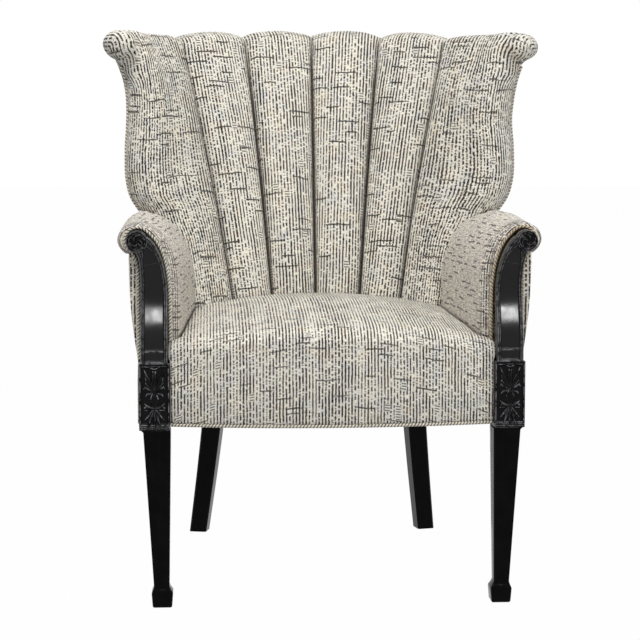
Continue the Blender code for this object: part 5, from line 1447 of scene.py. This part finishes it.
def arm_post(label):
    """Show-wood facing with beaded edges and a sunk panel, leaning out to its scroll."""
    centre, half, level = post_path(230)
    half, z = half[:, None], centre[:, 1][:, None]
    x = np.linspace(-1, 1, 91) * half
    sides, deeps = np.array(POST_REAR).T
    rear_depth = mix(post_front(z) + 0.003, POST_BACK_DEPTH, deeps)
    rings = []
    for aside, depth in ((x, post_front(z) + post_relief(x, z, half)), (half * sides, rear_depth)):
        flat = centre[:, None] + level[:, None] * aside[..., None]
        rings.append(xyz(flat[..., 0], back(depth), flat[..., 1]))
    add_side("arm_facing", label, np.concatenate(rings, 1), POLISHED, "arm_post")


def scroll_height(r, turn):
    """Carved end of the scroll: a rim and a quirk round curled leaves and a button."""
    body = np.sin(math.pi * np.clip((r - LEAF_START) / LEAF_LENGTH, 0, 1)) ** 0.6
    height = LEAF_TALL * np.maximum(0.0, np.cos(LEAVES * turn - LEAF_CURL * r)) ** 0.7 * body
    for at, wide, tall in SCROLL_HOOPS:
        height = np.maximum(height, ridge(r - at, wide, tall))
    return height


def scroll(label):
    """Scroll of the arm post, seen end on."""
    turns = np.linspace(0, 2 * math.pi, 120, endpoint=False)
    levels = []
    for r in (*np.linspace(0.0003, 0.0172, 56), 0.0176, SCROLL_RADIUS):
        levels.append((r, 0.0018 * smooth((r - 0.0166) / 0.0012) - 0.0002 - scroll_height(r, turns)))
    levels += [(SCROLL_RADIUS, depth) for depth in (0.004, 0.020, 0.0435)]
    rings = [
        xyz(SCROLL_X + r * np.cos(turns), back(depth), SCROLL_Z + r * np.sin(turns)) for r, depth in levels
    ]
    add_side("arm_scroll", label, rings, CARVED, "arm_post")


for label in ("left", "right"):
    carved_block(label)
    front_leg(label)
    arm_post(label)
    scroll(label)


# Stage, light and camera

def seen_directly(t):
    """1 for the rays that show a surface itself or its mirror image, 0 for those that light others."""
    rays = t.node("LightPath").outputs
    return Value(t, rays["Is Camera Ray"]).most(rays["Is Glossy Ray"]).most(rays["Is Transmission Ray"])


def floor():
    mesh = bpy.data.meshes.new("studio_floor")
    mesh.from_pydata([(-30, -30, 0), (30, -30, 0), (30, 30, 0), (-30, 30, 0)], [], [(0, 1, 2, 3)])
    made = bpy.data.objects.new("studio_floor", mesh)
    scene.collection.objects.link(made)
    t = material("pale_floor")
    t.set(Base_Color=(0.50, 0.50, 0.50, 1.0), Roughness=0.9, Specular_IOR_Level=0.1)
    glow = t.node("Emission", Color=(1, 1, 1, 1))
    both = t.node("MixShader")
    for socket, value in zip(both.inputs, (seen_directly(t) * 0.985, t.shader.outputs[0], glow.outputs[0])):
        t.put(socket, value)
    t.put(t.tree.nodes["Material Output"].inputs["Surface"], both.outputs[0])
    mesh.materials.append(t.holder)


def world_light(strength):
    scene.world = bpy.data.worlds.new("studio")
    t = Tree(scene.world)
    t.tree.nodes.clear()
    level = t.node("MapRange", **{"Value": seen_directly(t), "To Min": strength})
    sky = t.node("Background", Color=(1, 1, 1, 1), Strength=level.outputs["Result"])
    t.node("OutputWorld", Surface=sky.outputs[0])


def area_light(name, at, aim, size, power, colour=(1, 1, 1)):
    data = bpy.data.lights.new(name, "AREA")
    data.shape = "DISK"
    data.size = size
    data.energy = power
    data.color = colour
    made = bpy.data.objects.new(name, data)
    made.location = at
    made.rotation_euler = (Vector(aim) - Vector(at)).to_track_quat("-Z", "Y").to_euler()
    scene.collection.objects.link(made)


floor()
world_light(0.40)
area_light("key", (-0.55, -1.15, 3.15), (0, 0, 0.5), 1.3, 43.0, (1.0, 0.985, 0.955))
area_light("fill", (2.3, -1.5, 1.5), (0, 0, 0.5), 1.5, 11.0, (0.97, 0.985, 1.0))
area_light("glint_left", (-0.364, -2.70, 2.10), (-0.29, -0.31, 0.47), 0.22, 9.0)
area_light("glint_right", (0.70, -2.70, 2.10), (0.29, -0.31, 0.47), 0.24, 13.0)
area_light("behind", (1.2, 2.8, 2.2), (0, 0, 0.5), 1.6, 16.0)

camera = bpy.data.cameras.new("photo_camera")
camera.sensor_width = 36.0
camera.lens = 100.7
holder = bpy.data.objects.new("photo_camera", camera)
holder.location = (-0.2010, -3.2043, 0.7550)
holder.rotation_euler = (math.radians(90 - 5.5699), 0.0, math.radians(-3.5651))
scene.collection.objects.link(holder)
scene.camera = holder
scene.view_settings.view_transform = "Standard"
